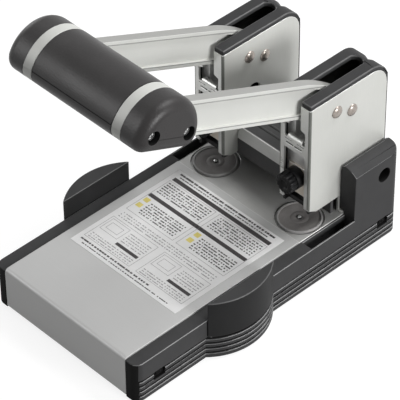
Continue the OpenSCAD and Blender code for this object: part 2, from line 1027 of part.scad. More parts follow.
module grip_cap_right() {
    color("DimGray")
        difference() {
            union() {
                at_grip()
                    intersection() {
                        translate([cap_start, 0, 0])
                            rotate([0, 90, 0])
                                cap_drum();
                        block([0, -2 * grip_radius, 0], [grip_length, 2 * grip_radius, 2 * grip_radius]);
                    }
                intersection() {
                    along_lever(cap_start, grip_half + cut)
                        grip_keel(0);
                    at_grip()
                        translate([0, 0, -2 * grip_depth])
                            linear_extrude(height = 4 * grip_depth)
                                cap_profile(grip_radius);
                    at_grip()
                        translate([0, 2 * grip_radius, 0])
                            rotate([90, 0, 0])
                                linear_extrude(height = 4 * grip_radius)
                                    cap_profile(grip_depth + slack);
                }
            }
            along_lever(cap_start - cut, grip_half + cut)
                at_cap_screws()
                    circle(r = cap_screw_radius + fit);
            along_lever(grip_half - cap_head_depth, grip_half + cut)
                at_cap_screws()
                    circle(r = cap_well_radius);
        }
}

module grip_cap_left() {
    left_hand()
        grip_cap_right();
}

module grip_screws() {
    color("LightGray")
        for (side = [0, 1])
            mirror([side, 0, 0]) {
                along_lever(cap_screw_end, grip_half - cap_head_depth + fit)
                    at_cap_screws()
                        circle(r = cap_screw_radius);
                along_lever(grip_half - cap_head_depth, grip_half - cap_head_depth + cap_head_height)
                    at_cap_screws()
                        circle(r = cap_head_radius);
            }
}

module punch_holder_right() {
    color("Silver")
        difference() {
            union() {
                block([tower_x - holder_half, holder_front, holder_low],
                      [tower_x + holder_half, holder_rear, holder_high]);
                for (side = [-1, 1])
                    translate([tower_x + side * (holder_half + fork_half) / 2, 0, 0])
                        block([(fork_half - holder_half) / 2, holder_front, holder_high - cut],
                              [(holder_half - fork_half) / 2, holder_rear, fork_top]);
                block([tower_x - shelf_half, holder_rear - cut, shelf_low],
                      [tower_x + shelf_half, spring_y + spring_radius, shelf_low + shelf_height]);
            }
            bar_z(0, bit_seat, tower_x, punch_y, bit_radius + fit);
            bar_z(0, tower_top, tower_x, punch_y, bit_bore);
            bar_x(0, base_width, punch_y, drive_z, drive_radius + fit);
            bar_y(0, stud_end, tower_x, knob_z, stud_radius + fit);
        }
}

module punch_holder_left() {
    left_hand()
        punch_holder_right();
}

module drive_pin_right() {
    color("LightGray")
        bar_x(tower_x - holder_half, tower_x + holder_half, punch_y, drive_z, drive_radius);
}

module drive_pin_left() {
    left_hand()
        drive_pin_right();
}

module punch_bit_right() {
    color("LightGray")
        difference() {
            bar_z(tip_rest, bit_seat, tower_x, punch_y, bit_radius);
            bar_z(0, tower_top, tower_x, punch_y, bit_bore);
            translate([tower_x, punch_y, tip_rest])
                cylinder(h = bevel, r1 = bit_radius - tip_land, r2 = bit_bore);
        }
}

module punch_bit_left() {
    left_hand()
        punch_bit_right();
}

module clamp_plate_right() {
    color("Tan")
        difference() {
            block([tower_x - plate_half, holder_front - plate_depth, plate_low],
                  [tower_x + plate_half, holder_front, plate_high]);
            bar_y(0, base_depth, tower_x, knob_z, stud_radius + fit);
        }
}

module clamp_plate_left() {
    left_hand()
        clamp_plate_right();
}

module knob_right() {
    color("Black") {
        difference() {
            bar_y(knob_front, knob_rear, tower_x, knob_z, knob_radius);
            for (turn = [0 : 360 / flute_count : 359])
                bar_y(knob_front - cut, knob_rear - knob_flange,
                      tower_x + (knob_radius + flute_radius / 3) * cos(turn),
                      knob_z + (knob_radius + flute_radius / 3) * sin(turn), flute_radius);
        }
        bar_y(knob_rear - cut, stud_end - stud_clear, tower_x, knob_z, stud_radius);
    }
}

module knob_left() {
    left_hand()
        knob_right();
}

module return_spring_right() {
    color("LightGray")
        difference() {
            bar_z(strip_high, shelf_low, tower_x, spring_y, spring_radius);
            bar_z(0, tower_top, tower_x, spring_y, spring_radius - spring_wall);
        }
}

module return_spring_left() {
    left_hand()
        return_spring_right();
}

// A right-hand guide block with its bar's pocket at one place along Y
module block_body(bar_y) {
    color("DarkSlateGray")
        difference() {
            translate([0, 0, guide_low])
                linear_extrude(height = guide_high - guide_low)
                    half_moon(0, guide_face);
            block([0, bar_y - bar_width / 2, bar_low],
                  [guide_face + bar_pocket, bar_y + bar_width / 2, bar_high]);
        }
}

// A right-hand guide bar at one place along Y
module bar_body(bar_y) {
    color("Silver")
        block([bar_inner, bar_y - bar_width / 2, bar_low],
              [guide_face + bar_pocket, bar_y + bar_width / 2, bar_high]);
}

module guide_block_right() {
    block_body(guide_y + bar_offset);
}

module guide_block_left() {
    left_hand()
        block_body(guide_y - bar_offset);
}

module guide_bar_right() {
    bar_body(guide_y + bar_offset);
}

module guide_bar_left() {
    left_hand()
        bar_body(guide_y - bar_offset);
}

base_pan();
feet();
table_plate();
table_label();
die_plate();
side_cover_left();
side_cover_right();
cover_screws();
rear_cover();
rear_band();
tower_frame_left();
tower_frame_right();
tower_trim_left();
tower_trim_right();
stripper_left();
stripper_right();
lever_pivots();
stop_pins();
disc_pins();
cutting_disc_left();
cutting_disc_right();
arm_left();
arm_right();
grip_upper();
grip_lower();
grip_cap_left();
grip_cap_right();
grip_screws();
punch_holder_left();
punch_holder_right();
drive_pin_left();
drive_pin_right();
punch_bit_left();
punch_bit_right();
clamp_plate_left();
clamp_plate_right();
knob_left();
knob_right();
return_spring_left();
return_spring_right();
guide_block_left();
guide_block_right();
guide_bar_left();
guide_bar_right();
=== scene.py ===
import json
import math

import bmesh
import bpy
from mathutils import Matrix, Vector

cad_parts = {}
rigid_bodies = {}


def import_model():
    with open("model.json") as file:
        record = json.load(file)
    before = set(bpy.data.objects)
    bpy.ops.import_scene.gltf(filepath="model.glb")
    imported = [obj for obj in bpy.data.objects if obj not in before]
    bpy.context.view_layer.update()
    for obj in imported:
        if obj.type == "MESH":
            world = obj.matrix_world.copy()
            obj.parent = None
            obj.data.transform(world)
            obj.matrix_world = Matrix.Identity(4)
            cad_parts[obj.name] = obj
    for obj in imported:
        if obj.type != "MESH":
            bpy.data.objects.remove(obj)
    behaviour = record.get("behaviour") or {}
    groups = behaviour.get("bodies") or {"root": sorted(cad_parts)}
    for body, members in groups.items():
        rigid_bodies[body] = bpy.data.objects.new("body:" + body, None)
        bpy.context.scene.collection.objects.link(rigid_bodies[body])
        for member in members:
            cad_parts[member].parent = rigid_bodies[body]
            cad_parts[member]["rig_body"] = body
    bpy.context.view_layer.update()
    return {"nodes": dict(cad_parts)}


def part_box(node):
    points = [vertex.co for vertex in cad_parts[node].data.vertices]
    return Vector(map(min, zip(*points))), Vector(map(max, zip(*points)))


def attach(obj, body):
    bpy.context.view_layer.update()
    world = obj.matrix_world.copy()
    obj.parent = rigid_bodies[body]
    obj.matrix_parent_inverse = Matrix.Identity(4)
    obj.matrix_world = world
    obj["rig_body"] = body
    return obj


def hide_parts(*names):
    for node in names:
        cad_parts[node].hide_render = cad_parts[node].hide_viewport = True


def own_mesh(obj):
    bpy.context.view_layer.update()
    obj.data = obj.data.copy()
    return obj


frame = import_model()
nodes = frame["nodes"]
scene = bpy.context.scene
print("frame loaded:", len(nodes), "solids")

mm = 0.001
hair = 1e-5  # metres within which two planes are one
weld = 1e-7  # metres within which two points are one
squareOn = 0.99  # least share of a normal along an axis for a face square to it
sides = {"left": -1, "right": 1}
white = (1, 1, 1, 1)


def sideOf(nodeName):
    return -1 if nodeName.endswith("left") else 1


def bothSides(kind):
    # the node of that name, or its left and right ones
    return [name for name in (kind, kind + "_left", kind + "_right") if name in nodes]


def addPiece(name, mesh):
    piece = bpy.data.objects.new(name, mesh)
    scene.collection.objects.link(piece)
    return piece


def feed(tree, node, values):
    # each socket takes a value, or a link from another socket
    for key, value in values.items():
        if isinstance(value, bpy.types.NodeSocket):
            tree.links.new(value, node.inputs[key])
        else:
            node.inputs[key].default_value = value


def addNode(tree, kind, values=None):
    node = tree.nodes.new(kind)
    feed(tree, node, values or {})
    return node


def calc(tree, operation, first, second):
    node = addNode(tree, "ShaderNodeMath", {0: first, 1: second})
    node.operation = operation
    return node.outputs[0]


# camera, solved from the corners of the table, covers and towers
cameraView = {
    "azimuth": 46.61,
    "elevation": 41.33,
    "roll": -0.64,
    "target": (2.6, -1.5, 60.0),
    "distance": 1771.1,
    "focalPixels": 2706.7,
    "framePixels": 400,
    "sensor": 36.0,
    "clipEnd": 20,
}


def placeCamera(view):
    az, el, roll = (math.radians(view[k]) for k in ("azimuth", "elevation", "roll"))
    back = Vector((math.sin(az) * math.cos(el), -math.cos(az) * math.cos(el), math.sin(el)))
    right = Vector((math.cos(az), math.sin(az), 0.0))
    up = back.cross(right)
    across = right * math.cos(roll) + up * math.sin(roll)
    upright = up * math.cos(roll) - right * math.sin(roll)
    data = bpy.data.cameras.new("deskCamera")
    data.sensor_fit = "HORIZONTAL"
    data.sensor_width = view["sensor"]
    data.lens = view["focalPixels"] / view["framePixels"] * view["sensor"]
    data.clip_end = view["clipEnd"]
    camera = bpy.data.objects.new("deskCamera", data)
    scene.collection.objects.link(camera)
    turn = Matrix((across, upright, back)).transposed().to_4x4()
    spot = (Vector(view["target"]) + back * view["distance"]) * mm
    camera.matrix_world = Matrix.Translation(spot) @ turn
    scene.camera = camera


placeCamera(cameraView)


# light: a low lamp to the right, a broad one above and behind, a weak one to the left,
# a sheet in front that only shines, a pale room
studio = {
    # name, place, watts, size, seen by matt surfaces
    "lamps": [
        ("sideLamp", (2.82, 0.3, 1.0), 66.0, 0.9, True),
        ("topLamp", (0.52, 1.3, 2.2), 44.0, 1.2, True),
        ("leftLamp", (-2.2, 0.6, 1.0), 12.0, 1.2, True),
        ("sheenSheet", (-1.1, -1.35, 1.15), 13.0, 0.9, False),
    ],
    "aim": (0.0, 0.0, 0.07),
    "roomDiffuse": 0.11,
    "roomShown": 1.0,
    "floorGrey": 0.25,
    "floorGlow": 0.86,
    "floorReach": 6.0,
}


def softLamp(aim, name, spot, watts, size, matt):
    data = bpy.data.lights.new(name, "AREA")
    data.energy = watts
    data.size = size
    lamp = bpy.data.objects.new(name, data)
    scene.collection.objects.link(lamp)
    turn = (Vector(aim) - Vector(spot)).to_track_quat("-Z", "Y")
    lamp.matrix_world = Matrix.Translation(Vector(spot)) @ turn.to_matrix().to_4x4()
    lamp.visible_diffuse = matt


def seenRays(tree):
    path = addNode(tree, "ShaderNodeLightPath").outputs
    direct = calc(tree, "MAXIMUM", path["Is Camera Ray"], path["Is Glossy Ray"])
    return calc(tree, "MAXIMUM", direct, path["Is Transmission Ray"])


def setStudio(s):
    for lamp in s["lamps"]:
        softLamp(s["aim"], *lamp)

    room = bpy.data.worlds.new("paleRoom")
    room.use_nodes = True
    scene.world = room
    tree = room.node_tree
    tree.nodes.clear()
    lit = addNode(tree, "ShaderNodeBackground", {"Color": white, "Strength": s["roomDiffuse"]})
    shown = addNode(tree, "ShaderNodeBackground", {"Color": white, "Strength": s["roomShown"]})
    mix = addNode(tree, "ShaderNodeMixShader", {0: seenRays(tree), 1: lit.outputs[0], 2: shown.outputs[0]})
    addNode(tree, "ShaderNodeOutputWorld", {"Surface": mix.outputs[0]})

    reach = s["floorReach"]
    mesh = bpy.data.meshes.new("floor")
    mesh.from_pydata([(-reach, -reach, 0), (reach, -reach, 0), (reach, reach, 0), (-reach, reach, 0)],
                     [], [(0, 1, 2, 3)])
    floor = addPiece("floor", mesh)
    paint = bpy.data.materials.new("floorWhite")
    paint.use_nodes = True
    tree = paint.node_tree
    tree.nodes.clear()
    matt = addNode(tree, "ShaderNodeBsdfDiffuse", {"Color": (s["floorGrey"],) * 3 + (1,)})
    share = calc(tree, "MULTIPLY", seenRays(tree), s["floorGlow"])
    glow = addNode(tree, "ShaderNodeEmission", {"Color": white, "Strength": share})
    both = addNode(tree, "ShaderNodeAddShader", {0: matt.outputs[0], 1: glow.outputs[0]})
    addNode(tree, "ShaderNodeOutputMaterial", {"Surface": both.outputs[0]})
    mesh.materials.append(paint)
    scene.view_settings.view_transform = "Standard"


setStudio(studio)
print("camera and light set")


# finishes: dark and light linear colour, grain and mottle per metre, roughness, bump, its depth in mm,
# metallic, specular, and for brushed ones the stretch of the grain
finishes = {
    "blackMould": ((0.046, 0.046, 0.047), (0.06, 0.06, 0.061), 2600, 60, (0.5, 0.64), 0.1, 0.08, 0, 0.08),
    "blackEdgeHighlight": ((0.18, 0.18, 0.182), (0.28, 0.28, 0.282), 900, 160, (0.34, 0.46), 0.05, 0.05, 0, 0.3),
    "trimEdge": ((0.08, 0.08, 0.081), (0.125, 0.125, 0.126), 900, 160, (0.34, 0.46), 0.05, 0.05, 0, 0.3),
    "guideShadedMould": ((0.016, 0.016, 0.0163), (0.023, 0.023, 0.0234), 2600, 60, (0.5, 0.64), 0.1, 0.08, 0, 0.1),
    "guideEdge": ((0.075, 0.075, 0.076), (0.11, 0.11, 0.111), 1400, 120, (0.36, 0.48), 0.06, 0.05, 0, 0.26),
    "pitBlack": ((0.007, 0.007, 0.007), (0.013, 0.013, 0.013), 1800, 120, (0.62, 0.78), 0.08, 0.06, 0, 0.05),
    # the rear cover's mould is lighter than the other black mouldings: painted sheen
    "hoodMouldLightened": ((0.068, 0.068, 0.069), (0.092, 0.092, 0.093), 2600, 60, (0.38, 0.5), 0.08, 0.06, 0, 0.16),
    "gripSatin": ((0.014, 0.0125, 0.0125), (0.023, 0.021, 0.021), 1000, 45, (0.34, 0.46), 0.6, 0.2, 0, 0.32),
    "knobBlack": ((0.007, 0.007, 0.0075), (0.013, 0.013, 0.0135), 2600, 200, (0.3, 0.42), 0.08, 0.05,
        0, 0.12),
    "tableSatin": ((0.432, 0.432, 0.428), (0.463, 0.463, 0.459), 1500, 18, (0.46, 0.6), 0.04, 0.03, 0.33, 0.5,
        (0.04, 1, 1)),
    # the next two edge finishes are lighter than most sheets they edge: painted highlights along the rounded
    # metal edges
    "tableEdge": ((0.45, 0.45, 0.446), (0.51, 0.51, 0.506), 1500, 60, (0.46, 0.6), 0.04, 0.03, 0.33, 0.5),
    "sheetEdgeHighlight": ((0.7, 0.7, 0.69), (0.82, 0.82, 0.81), 1500, 120, (0.26, 0.38), 0.04, 0.03, 0.35, 0.5),
    "towerSilver": ((0.58, 0.585, 0.555), (0.64, 0.645, 0.615), 1800, 22, (0.38, 0.5), 0.05, 0.03, 0.22, 0.5,
        (1, 1, 0.05)),
    "foldShade": ((0.13, 0.135, 0.12), (0.19, 0.195, 0.18), 1800, 60, (0.36, 0.48), 0.05, 0.03, 0.1, 0.5,
        (1, 1, 0.05)),
    "rimBright": ((0.84, 0.845, 0.82), (0.93, 0.935, 0.91), 1800, 90, (0.24, 0.34), 0.03, 0.02, 0.3, 0.5),
    "bridgeSteel": ((0.68, 0.685, 0.66), (0.79, 0.795, 0.77), 2000, 70, (0.26, 0.38), 0.05, 0.03, 0.4, 0.5,
        (0.06, 1, 1)),
    "towerInside": ((0.03, 0.03, 0.028), (0.052, 0.052, 0.049), 1600, 70, (0.52, 0.68), 0.08, 0.04, 0, 0.15),
    "armSilver": ((0.63, 0.635, 0.605), (0.69, 0.695, 0.665), 2200, 26, (0.42, 0.54), 0.06, 0.04, 0.08, 0.5),
    "armEdge": ((0.56, 0.565, 0.54), (0.64, 0.645, 0.62), 2200, 120, (0.3, 0.42), 0.04, 0.03, 0.1, 0.5),
    "armTop": ((0.345, 0.345, 0.332), (0.395, 0.395, 0.38), 2200, 26, (0.46, 0.58), 0.05, 0.04, 0, 0.3),
    "armLine": ((0.3, 0.3, 0.29), (0.38, 0.38, 0.37), 2200, 120, (0.44, 0.56), 0.04, 0.03, 0, 0.2),
    "dieSteel": ((0.4, 0.4, 0.39), (0.48, 0.48, 0.47), 1600, 40, (0.36, 0.5), 0.06, 0.04, 0.3, 0.5,
        (0.05, 1, 1)),
    "discEdge": ((0.3, 0.295, 0.29), (0.42, 0.415, 0.41), 1500, 160, (0.34, 0.46), 0.05, 0.04, 0, 0.35),
    "holderSteel": ((0.72, 0.72, 0.71), (0.86, 0.86, 0.85), 2400, 90, (0.3, 0.44), 0.12, 0.05, 0.25, 0.5,
        (0.06, 1, 1)),
    "plateZinc": ((0.76, 0.69, 0.59), (0.88, 0.81, 0.71), 1400, 130, (0.34, 0.48), 0.06, 0.04, 0.3, 0.5),
    "pinSteel": ((0.58, 0.58, 0.58), (0.74, 0.74, 0.74), 2600, 300, (0.18, 0.3), 0.05, 0.03, 0.85, 0.5),
    "darkSteel": ((0.02, 0.02, 0.02), (0.045, 0.045, 0.045), 2400, 240, (0.4, 0.54), 0.06, 0.04, 0, 0.15),
    "rivetNickel": ((0.27, 0.235, 0.21), (0.41, 0.37, 0.335), 2000, 420, (0.22, 0.34), 0.06, 0.03, 0.75, 0.5),
    "bandSatin": ((0.5, 0.505, 0.49), (0.6, 0.605, 0.59), 1800, 60, (0.36, 0.48), 0.05, 0.03, 0.3, 0.5,
        (0.05, 1, 1)),
    "labelPaper": ((0.74, 0.737, 0.735), (0.8, 0.797, 0.795), 2200, 90, (0.46, 0.58), 0.03, 0.02, 0, 0.3),
    "inkDark": ((0.022, 0.019, 0.02), (0.045, 0.04, 0.041), 1800, 300, (0.42, 0.56), 0.02, 0.02, 0, 0.3),
    "inkGrey": ((0.22, 0.21, 0.215), (0.33, 0.32, 0.325), 1800, 500, (0.44, 0.58), 0.02, 0.02, 0, 0.3),
    "inkYellow": ((0.62, 0.52, 0.13), (0.76, 0.66, 0.22), 1800, 260, (0.44, 0.58), 0.02, 0.02, 0, 0.3),
    "footRubber": ((0.022, 0.022, 0.022), (0.036, 0.036, 0.036), 1500, 90, (0.7, 0.86), 0.18, 0.1, 0, 0.2),
    "panBlack": ((0.05, 0.05, 0.052), (0.07, 0.07, 0.072), 1400, 30, (0.44, 0.6), 0.08, 0.06, 0, 0.35),
}


# noise details, the grain's share of the colour, and the spans of the noise that are used
weave = {"grainDetail": 3.0, "mottleDetail": 4.0, "grainShare": 0.35, "colourSpan": (0.32, 0.68),
         "roughSpan": (0.3, 0.7)}


def makeFinish(name, dark, light, grainScale, mottleScale, rough, bump, depth, metallic, specular,
               stretch=(1, 1, 1)):
    material = bpy.data.materials.new(name)
    material.use_nodes = True
    tree = material.node_tree
    place = addNode(tree, "ShaderNodeTexCoord").outputs["Object"]
    drawn = addNode(tree, "ShaderNodeMapping", {"Vector": place, "Scale": stretch}).outputs["Vector"]
    grain = addNode(tree, "ShaderNodeTexNoise", {
        "Vector": drawn, "Scale": grainScale, "Detail": weave["grainDetail"]}).outputs["Fac"]
    mottle = addNode(tree, "ShaderNodeTexNoise", {
        "Vector": place, "Scale": mottleScale, "Detail": weave["mottleDetail"]}).outputs["Fac"]

    # broad mottling and a little of the fine grain make the colour
    mix = addNode(tree, "ShaderNodeMix", {"Factor": weave["grainShare"], "A": mottle, "B": grain})
    blend = mix.outputs["Result"]
    ramp = addNode(tree, "ShaderNodeValToRGB", {"Fac": blend})
    for stop, spot, colour in zip(ramp.color_ramp.elements, weave["colourSpan"], (dark, light)):
        stop.position = spot
        stop.color = colour + (1,)
    least, most = weave["roughSpan"]
    dull = addNode(tree, "ShaderNodeMapRange", {
        "Value": blend, "From Min": least, "From Max": most, "To Min": rough[0], "To Max": rough[1]})
    relief = addNode(tree, "ShaderNodeBump", {"Strength": bump, "Distance": depth * mm, "Height": grain})
    feed(tree, tree.nodes["Principled BSDF"], {
        "Base Color": ramp.outputs["Color"], "Roughness": dull.outputs["Result"],
        "Normal": relief.outputs["Normal"], "Metallic": metallic, "Specular IOR Level": specular})
    return material


made = {name: makeFinish(name, *spec) for name, spec in finishes.items()}


# a disc's finish, as above, and the rings turned on it about its own centre
discRings = {
    "finish": ((0.205, 0.195, 0.19), (0.285, 0.272, 0.265), 1500, 160, (0.34, 0.52), 0.1, 0.04, 0, 0.4),
    "ringScale": 900, "ripple": 0.6, "bump": 0.1, "depth": 0.04}


def makeDiscFinish(name, centre, spec):
    material = makeFinish(name, *spec["finish"])
    tree = material.node_tree
    place = addNode(tree, "ShaderNodeTexCoord").outputs["Object"]
    shift = addNode(tree, "ShaderNodeMapping", {"Vector": place, "Location": (-centre[0], -centre[1], 0)})
    rings = addNode(tree, "ShaderNodeTexWave", {
        "Vector": shift.outputs["Vector"], "Scale": spec["ringScale"], "Distortion": spec["ripple"]})
    rings.wave_type = "RINGS"
    rings.rings_direction = "Z"
    relief = addNode(tree, "ShaderNodeBump", {
        "Strength": spec["bump"], "Distance": spec["depth"] * mm, "Height": rings.outputs["Fac"]})
    feed(tree, tree.nodes["Principled BSDF"], {"Normal": relief.outputs["Normal"]})
    return material


print("finishes made:", len(made))


# solids whose shape is right keep their mesh and take a finish
plainNodes = {"base_pan": "panBlack", "feet": "footRubber", "table_label": "labelPaper",
              "stripper": "darkSteel", "disc_pins": "darkSteel", "drive_pin": "pinSteel",
              "punch_bit": "pinSteel", "guide_bar": "dieSteel"}
for kind, finishName in plainNodes.items():
    for nodeName in bothSides(kind):
        mesh = nodes[nodeName].data
        mesh.materials.clear()
        mesh.materials.append(made[finishName])


# distances in metres under which points and edges fall together, degrees under which faces do
cleanUp = {"near": 2e-6, "tiny": 1e-6, "flat": 0.6}


def cleanCopy(nodeName):
    source = nodes[nodeName].data
    mesh = bpy.data.meshes.new(nodeName + "Copy")
    mesh.from_pydata([v.co.copy() for v in source.vertices], [], [list(p.vertices) for p in source.polygons])
    bm = bmesh.new()
    bm.from_mesh(mesh)
    bmesh.ops.remove_doubles(bm, verts=bm.verts, dist=cleanUp["near"])
    bmesh.ops.dissolve_degenerate(bm, edges=bm.edges, dist=cleanUp["tiny"])
    bmesh.ops.dissolve_limit(bm, angle_limit=math.radians(cleanUp["flat"]), verts=bm.verts, edges=bm.edges)
    bpy.data.meshes.remove(mesh)
    return bm


def keepResult(piece):
    graph = bpy.context.evaluated_depsgraph_get()
    mesh = bpy.data.meshes.new_from_object(piece.evaluated_get(graph))
    piece.modifiers.clear()
    old = piece.data
    piece.data = mesh
    bpy.data.meshes.remove(old)


def carveWith(piece, tool, selfCut=False):
    carve = piece.modifiers.new("carve", "BOOLEAN")
    carve.operation = "DIFFERENCE"
    carve.object = tool
    carve.solver = "EXACT"
    carve.use_self = selfCut
    keepResult(piece)
    bpy.data.objects.remove(tool)


def smoothFaces(mesh, degrees):
    mesh.polygons.foreach_set("use_smooth", [True] * len(mesh.polygons))
    mesh.set_sharp_from_angle(angle=math.radians(degrees))


def pieceFrom(bm, name, degrees, *finishNames):
    mesh = bpy.data.meshes.new(name)
    bm.to_mesh(mesh)
    bm.free()
    for finishName in finishNames:
        mesh.materials.append(made[finishName])
    smoothFaces(mesh, degrees)
    return addPiece(name, mesh)


def inMetres(x, y, z):
    return Vector((x, y, z)) * mm


def addBox(bm, low, high, place=inMetres):
    # a box from corner to corner in mm, each corner then put where place says
    for v in bmesh.ops.create_cube(bm, size=1.0)["verts"]:
        v.co = place(*(a if c < 0 else b for a, b, c in zip(low, high, v.co)))


# the lever's own slope, from its pivot
lever = {"slope": 23.9, "pivot": (86.5, 115.8)}


def leverPoint(along, lift):
    s = math.radians(lever["slope"])
    return (lever["pivot"][0] - along * math.cos(s) + lift * math.sin(s),
            lever["pivot"][1] + along * math.sin(s) + lift * math.cos(s))


# solids that get rounded edges: width in mm, main finish, edge finish, slot
roundedNodes = {
    "side_cover": (0.42, "blackMould", "blackEdgeHighlight", "black_plastic"),
    "rear_cover": (0.35, "hoodMouldLightened", "blackEdgeHighlight", "black_plastic"),
    "tower_trim": (0.70, "blackMould", "trimEdge", "black_plastic"),
    "guide_block": (0.55, "guideShadedMould", "guideEdge", "black_plastic"),
    "table_plate": (0.25, "tableSatin", "tableEdge", "table_steel"),
    "die_plate": (0.25, "dieSteel", "sheetEdgeHighlight", "die_steel"),
    "rear_band": (0.15, "bandSatin", "sheetEdgeHighlight", "band_silver"),
    "tower_frame": (0.30, "towerSilver", "sheetEdgeHighlight", "tower_silver"),
    "arm": (0.22, "armSilver", "armEdge", "arm_silver"),
    "grip_upper": (0.40, "gripSatin", "pitBlack", "grip_plastic"),
    "grip_lower": (0.40, "gripSatin", "pitBlack", "grip_plastic"),
    "punch_holder": (0.35, "holderSteel", "sheetEdgeHighlight", "holder_steel"),
    "clamp_plate": (0.25, "plateZinc", "sheetEdgeHighlight", "plate_zinc"),
}
highlightedEdgeFinishes = ("blackEdgeHighlight", "trimEdge", "guideEdge")  # painted highlights: light only on bevels that face up, where the lamps fall
edgeRules = {"sharp": 32, "straight": 150, "tiny": 0.05, "share": 0.42, "free": 0.9, "least": 0.12,
             "upward": 0.25, "sideways": 0.35, "segments": 2, "faceWeight": 100}
moreFinishes = {"tower_frame": ("foldShade", "towerInside", "rimBright", "bridgeSteel"),
                "side_cover": ("pitBlack",), "guide_block": ("blackMould",), "arm": ("armTop", "armLine")}
# the main finish is number 0 on its mesh, the edge 1, these follow
moreNumber = {name: 2 + k for names in moreFinishes.values() for k, name in enumerate(names)}
towerFold = {"radius": 1.5, "segments": 4, "half": 13.8, "inner": 11.8, "x": 40.0, "sheet": 2.0, "rim": 0.9,
             "rimSegments": 2, "foldLeast": 8.0, "rimLow": 60.0, "edgeOn": 0.1, "leaning": 0.2}
faceRules = {"level": 0.6, "clear": 0.5, "middle": 0.5, "off": 2.0, "side": 3.0, "line": 1.0, "least": 100.0}
bridgePlace = {"low": 94.9, "high": 112.0, "half": 9.4, "reach": 9.0, "plateSlack": 0.1, "sheetSlack": 0.2}
coverPitShade = {"grooves": (17.5, 13.35, 9.2, 5.05), "groove": 1.5, "grooveSlack": 0.02, "upright": 0.5,
             "pockets": (-100.0, 105.0), "pocketZ": 16.2, "pocketHalf": (5.4, 3.7), "well": (104.9, 57.8),
             "wellRadius": 5.9, "face": 67.4, "rimArea": 5.0}
# two slots and two fine lines in each bridge: left, right, low, high, depth
bridgeSlots = {"cuts": ((-7.4, -1.1, 98.7, 99.8, 3.0), (0.2, 6.6, 98.7, 99.8, 3.0),
                        (-8.6, -3.0, 102.3, 102.7, 0.3), (2.4, 8.2, 102.3, 102.7, 0.3)),
               "ahead": 1.0, "slack": 0.05, "deep": 0.1}
coverGlide = {"radius": 43.76, "centre": (35.24, -29.0), "face": 67.6, "low": 18.6, "high": 19.42,
              "steps": 28}
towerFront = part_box("tower_frame_left")[0].y
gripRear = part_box("grip_upper")[1].y + faceRules["clear"] * mm


def offMiddle(x):
    # mm from the middle plane of the nearer tower
    return abs(abs(x) / mm - towerFold["x"])


def onPlate(e):
    # in the outer plane of a tower's side plate
    return all(abs(offMiddle(v.co.x) - towerFold["half"]) * mm < hair for v in e.verts)


def softenEdges(bm, edges, width, segments, finishNumber):
    bmesh.ops.bevel(bm, geom=edges, offset=width * mm, offset_type="OFFSET", segments=segments, profile=0.5,
                    affect="EDGES", clamp_overlap=True, material=finishNumber)


def roundFolds(bm):
    folds = [e for e in bm.edges
             if e.calc_length() > towerFold["foldLeast"] * mm and onPlate(e)
             and all(abs(v.co.y - towerFront) < hair for v in e.verts)
             and abs(e.verts[0].co.x - e.verts[1].co.x) < hair]
    softenEdges(bm, folds, towerFold["radius"], towerFold["segments"], moreNumber["foldShade"])


def roundTop(bm):
    # the plates' outer edges under the trim and down the back, rounded and painted near-white as a painted
    # highlight
    rims = []
    for e in bm.edges:
        if len(e.link_faces) != 2 or not onPlate(e):
            continue
        flat = [f for f in e.link_faces if abs(f.normal.x) > squareOn]
        turned = [f.normal for f in e.link_faces if abs(f.normal.x) < towerFold["edgeOn"]]
        if not flat or not turned or e.verts[0].co.z <= towerFold["rimLow"] * mm:
            continue
        if max(turned[0].z, turned[0].y) > towerFold["leaning"]:
            rims.append(e)
    softenEdges(bm, rims, towerFold["rim"], towerFold["rimSegments"], moreNumber["rimBright"])


def lineArms(bm):
    # a shaded line on each rim's outer face, along its edge towards the web
    width = faceRules["line"] * mm
    ledges = {}
    for f in bm.faces:
        c = f.calc_center_median()
        level = offMiddle(c.x) > faceRules["off"] and abs(f.normal.z) > faceRules["level"]
        if level and f.calc_area() > faceRules["least"] * mm * mm:
            ledges[f.normal.z > 0] = (c.copy(), f.normal.copy())
    for spot, outward in ledges.values():
        for depth in (0, width):
            bmesh.ops.bisect_plane(bm, geom=bm.verts[:] + bm.edges[:] + bm.faces[:], dist=weld,
                                   plane_co=spot - outward * depth, plane_no=outward)
        for f in bm.faces:
            c = f.calc_center_median()
            outer = abs(f.normal.x) > squareOn and offMiddle(c.x) > faceRules["side"]
            if outer and 0 < (spot - c).dot(outward) < width:
                f.material_index = moreNumber["armLine"]


def addGlide(bm, sign, spec):
    # a low glide under the guide block, on the half-moon foot
    cx, cy = spec["centre"]
    half = math.acos((spec["face"] - cx) / spec["radius"])
    rim = []
    for k in range(spec["steps"] + 1):
        a = -half + 2 * half * k / spec["steps"]
        rim.append((sign * (cx + spec["radius"] * math.cos(a)), cy + spec["radius"] * math.sin(a)))
    lower, upper = ([bm.verts.new(inMetres(x, y, z)) for x, y in rim] for z in (spec["low"], spec["high"]))
    faces = [bm.faces.new(upper), bm.faces.new(list(reversed(lower)))]
    for k in range(len(rim)):
        n = (k + 1) % len(rim)
        faces.append(bm.faces.new((lower[k], lower[n], upper[n], upper[k])))
    bmesh.ops.recalc_face_normals(bm, faces=faces)


def bridgeTool(nodeName, spec):
    front = towerFront / mm
    middle = sideOf(nodeName) * towerFold["x"]
    bm = bmesh.new()
    for left, right, low, high, depth in spec["cuts"]:
        addBox(bm, (middle + left, front - spec["ahead"], low), (middle + right, front + depth, high))
    bmesh.ops.recalc_face_normals(bm, faces=bm.faces)
    return pieceFrom(bm, "bridgeTool", edgeRules["sharp"])


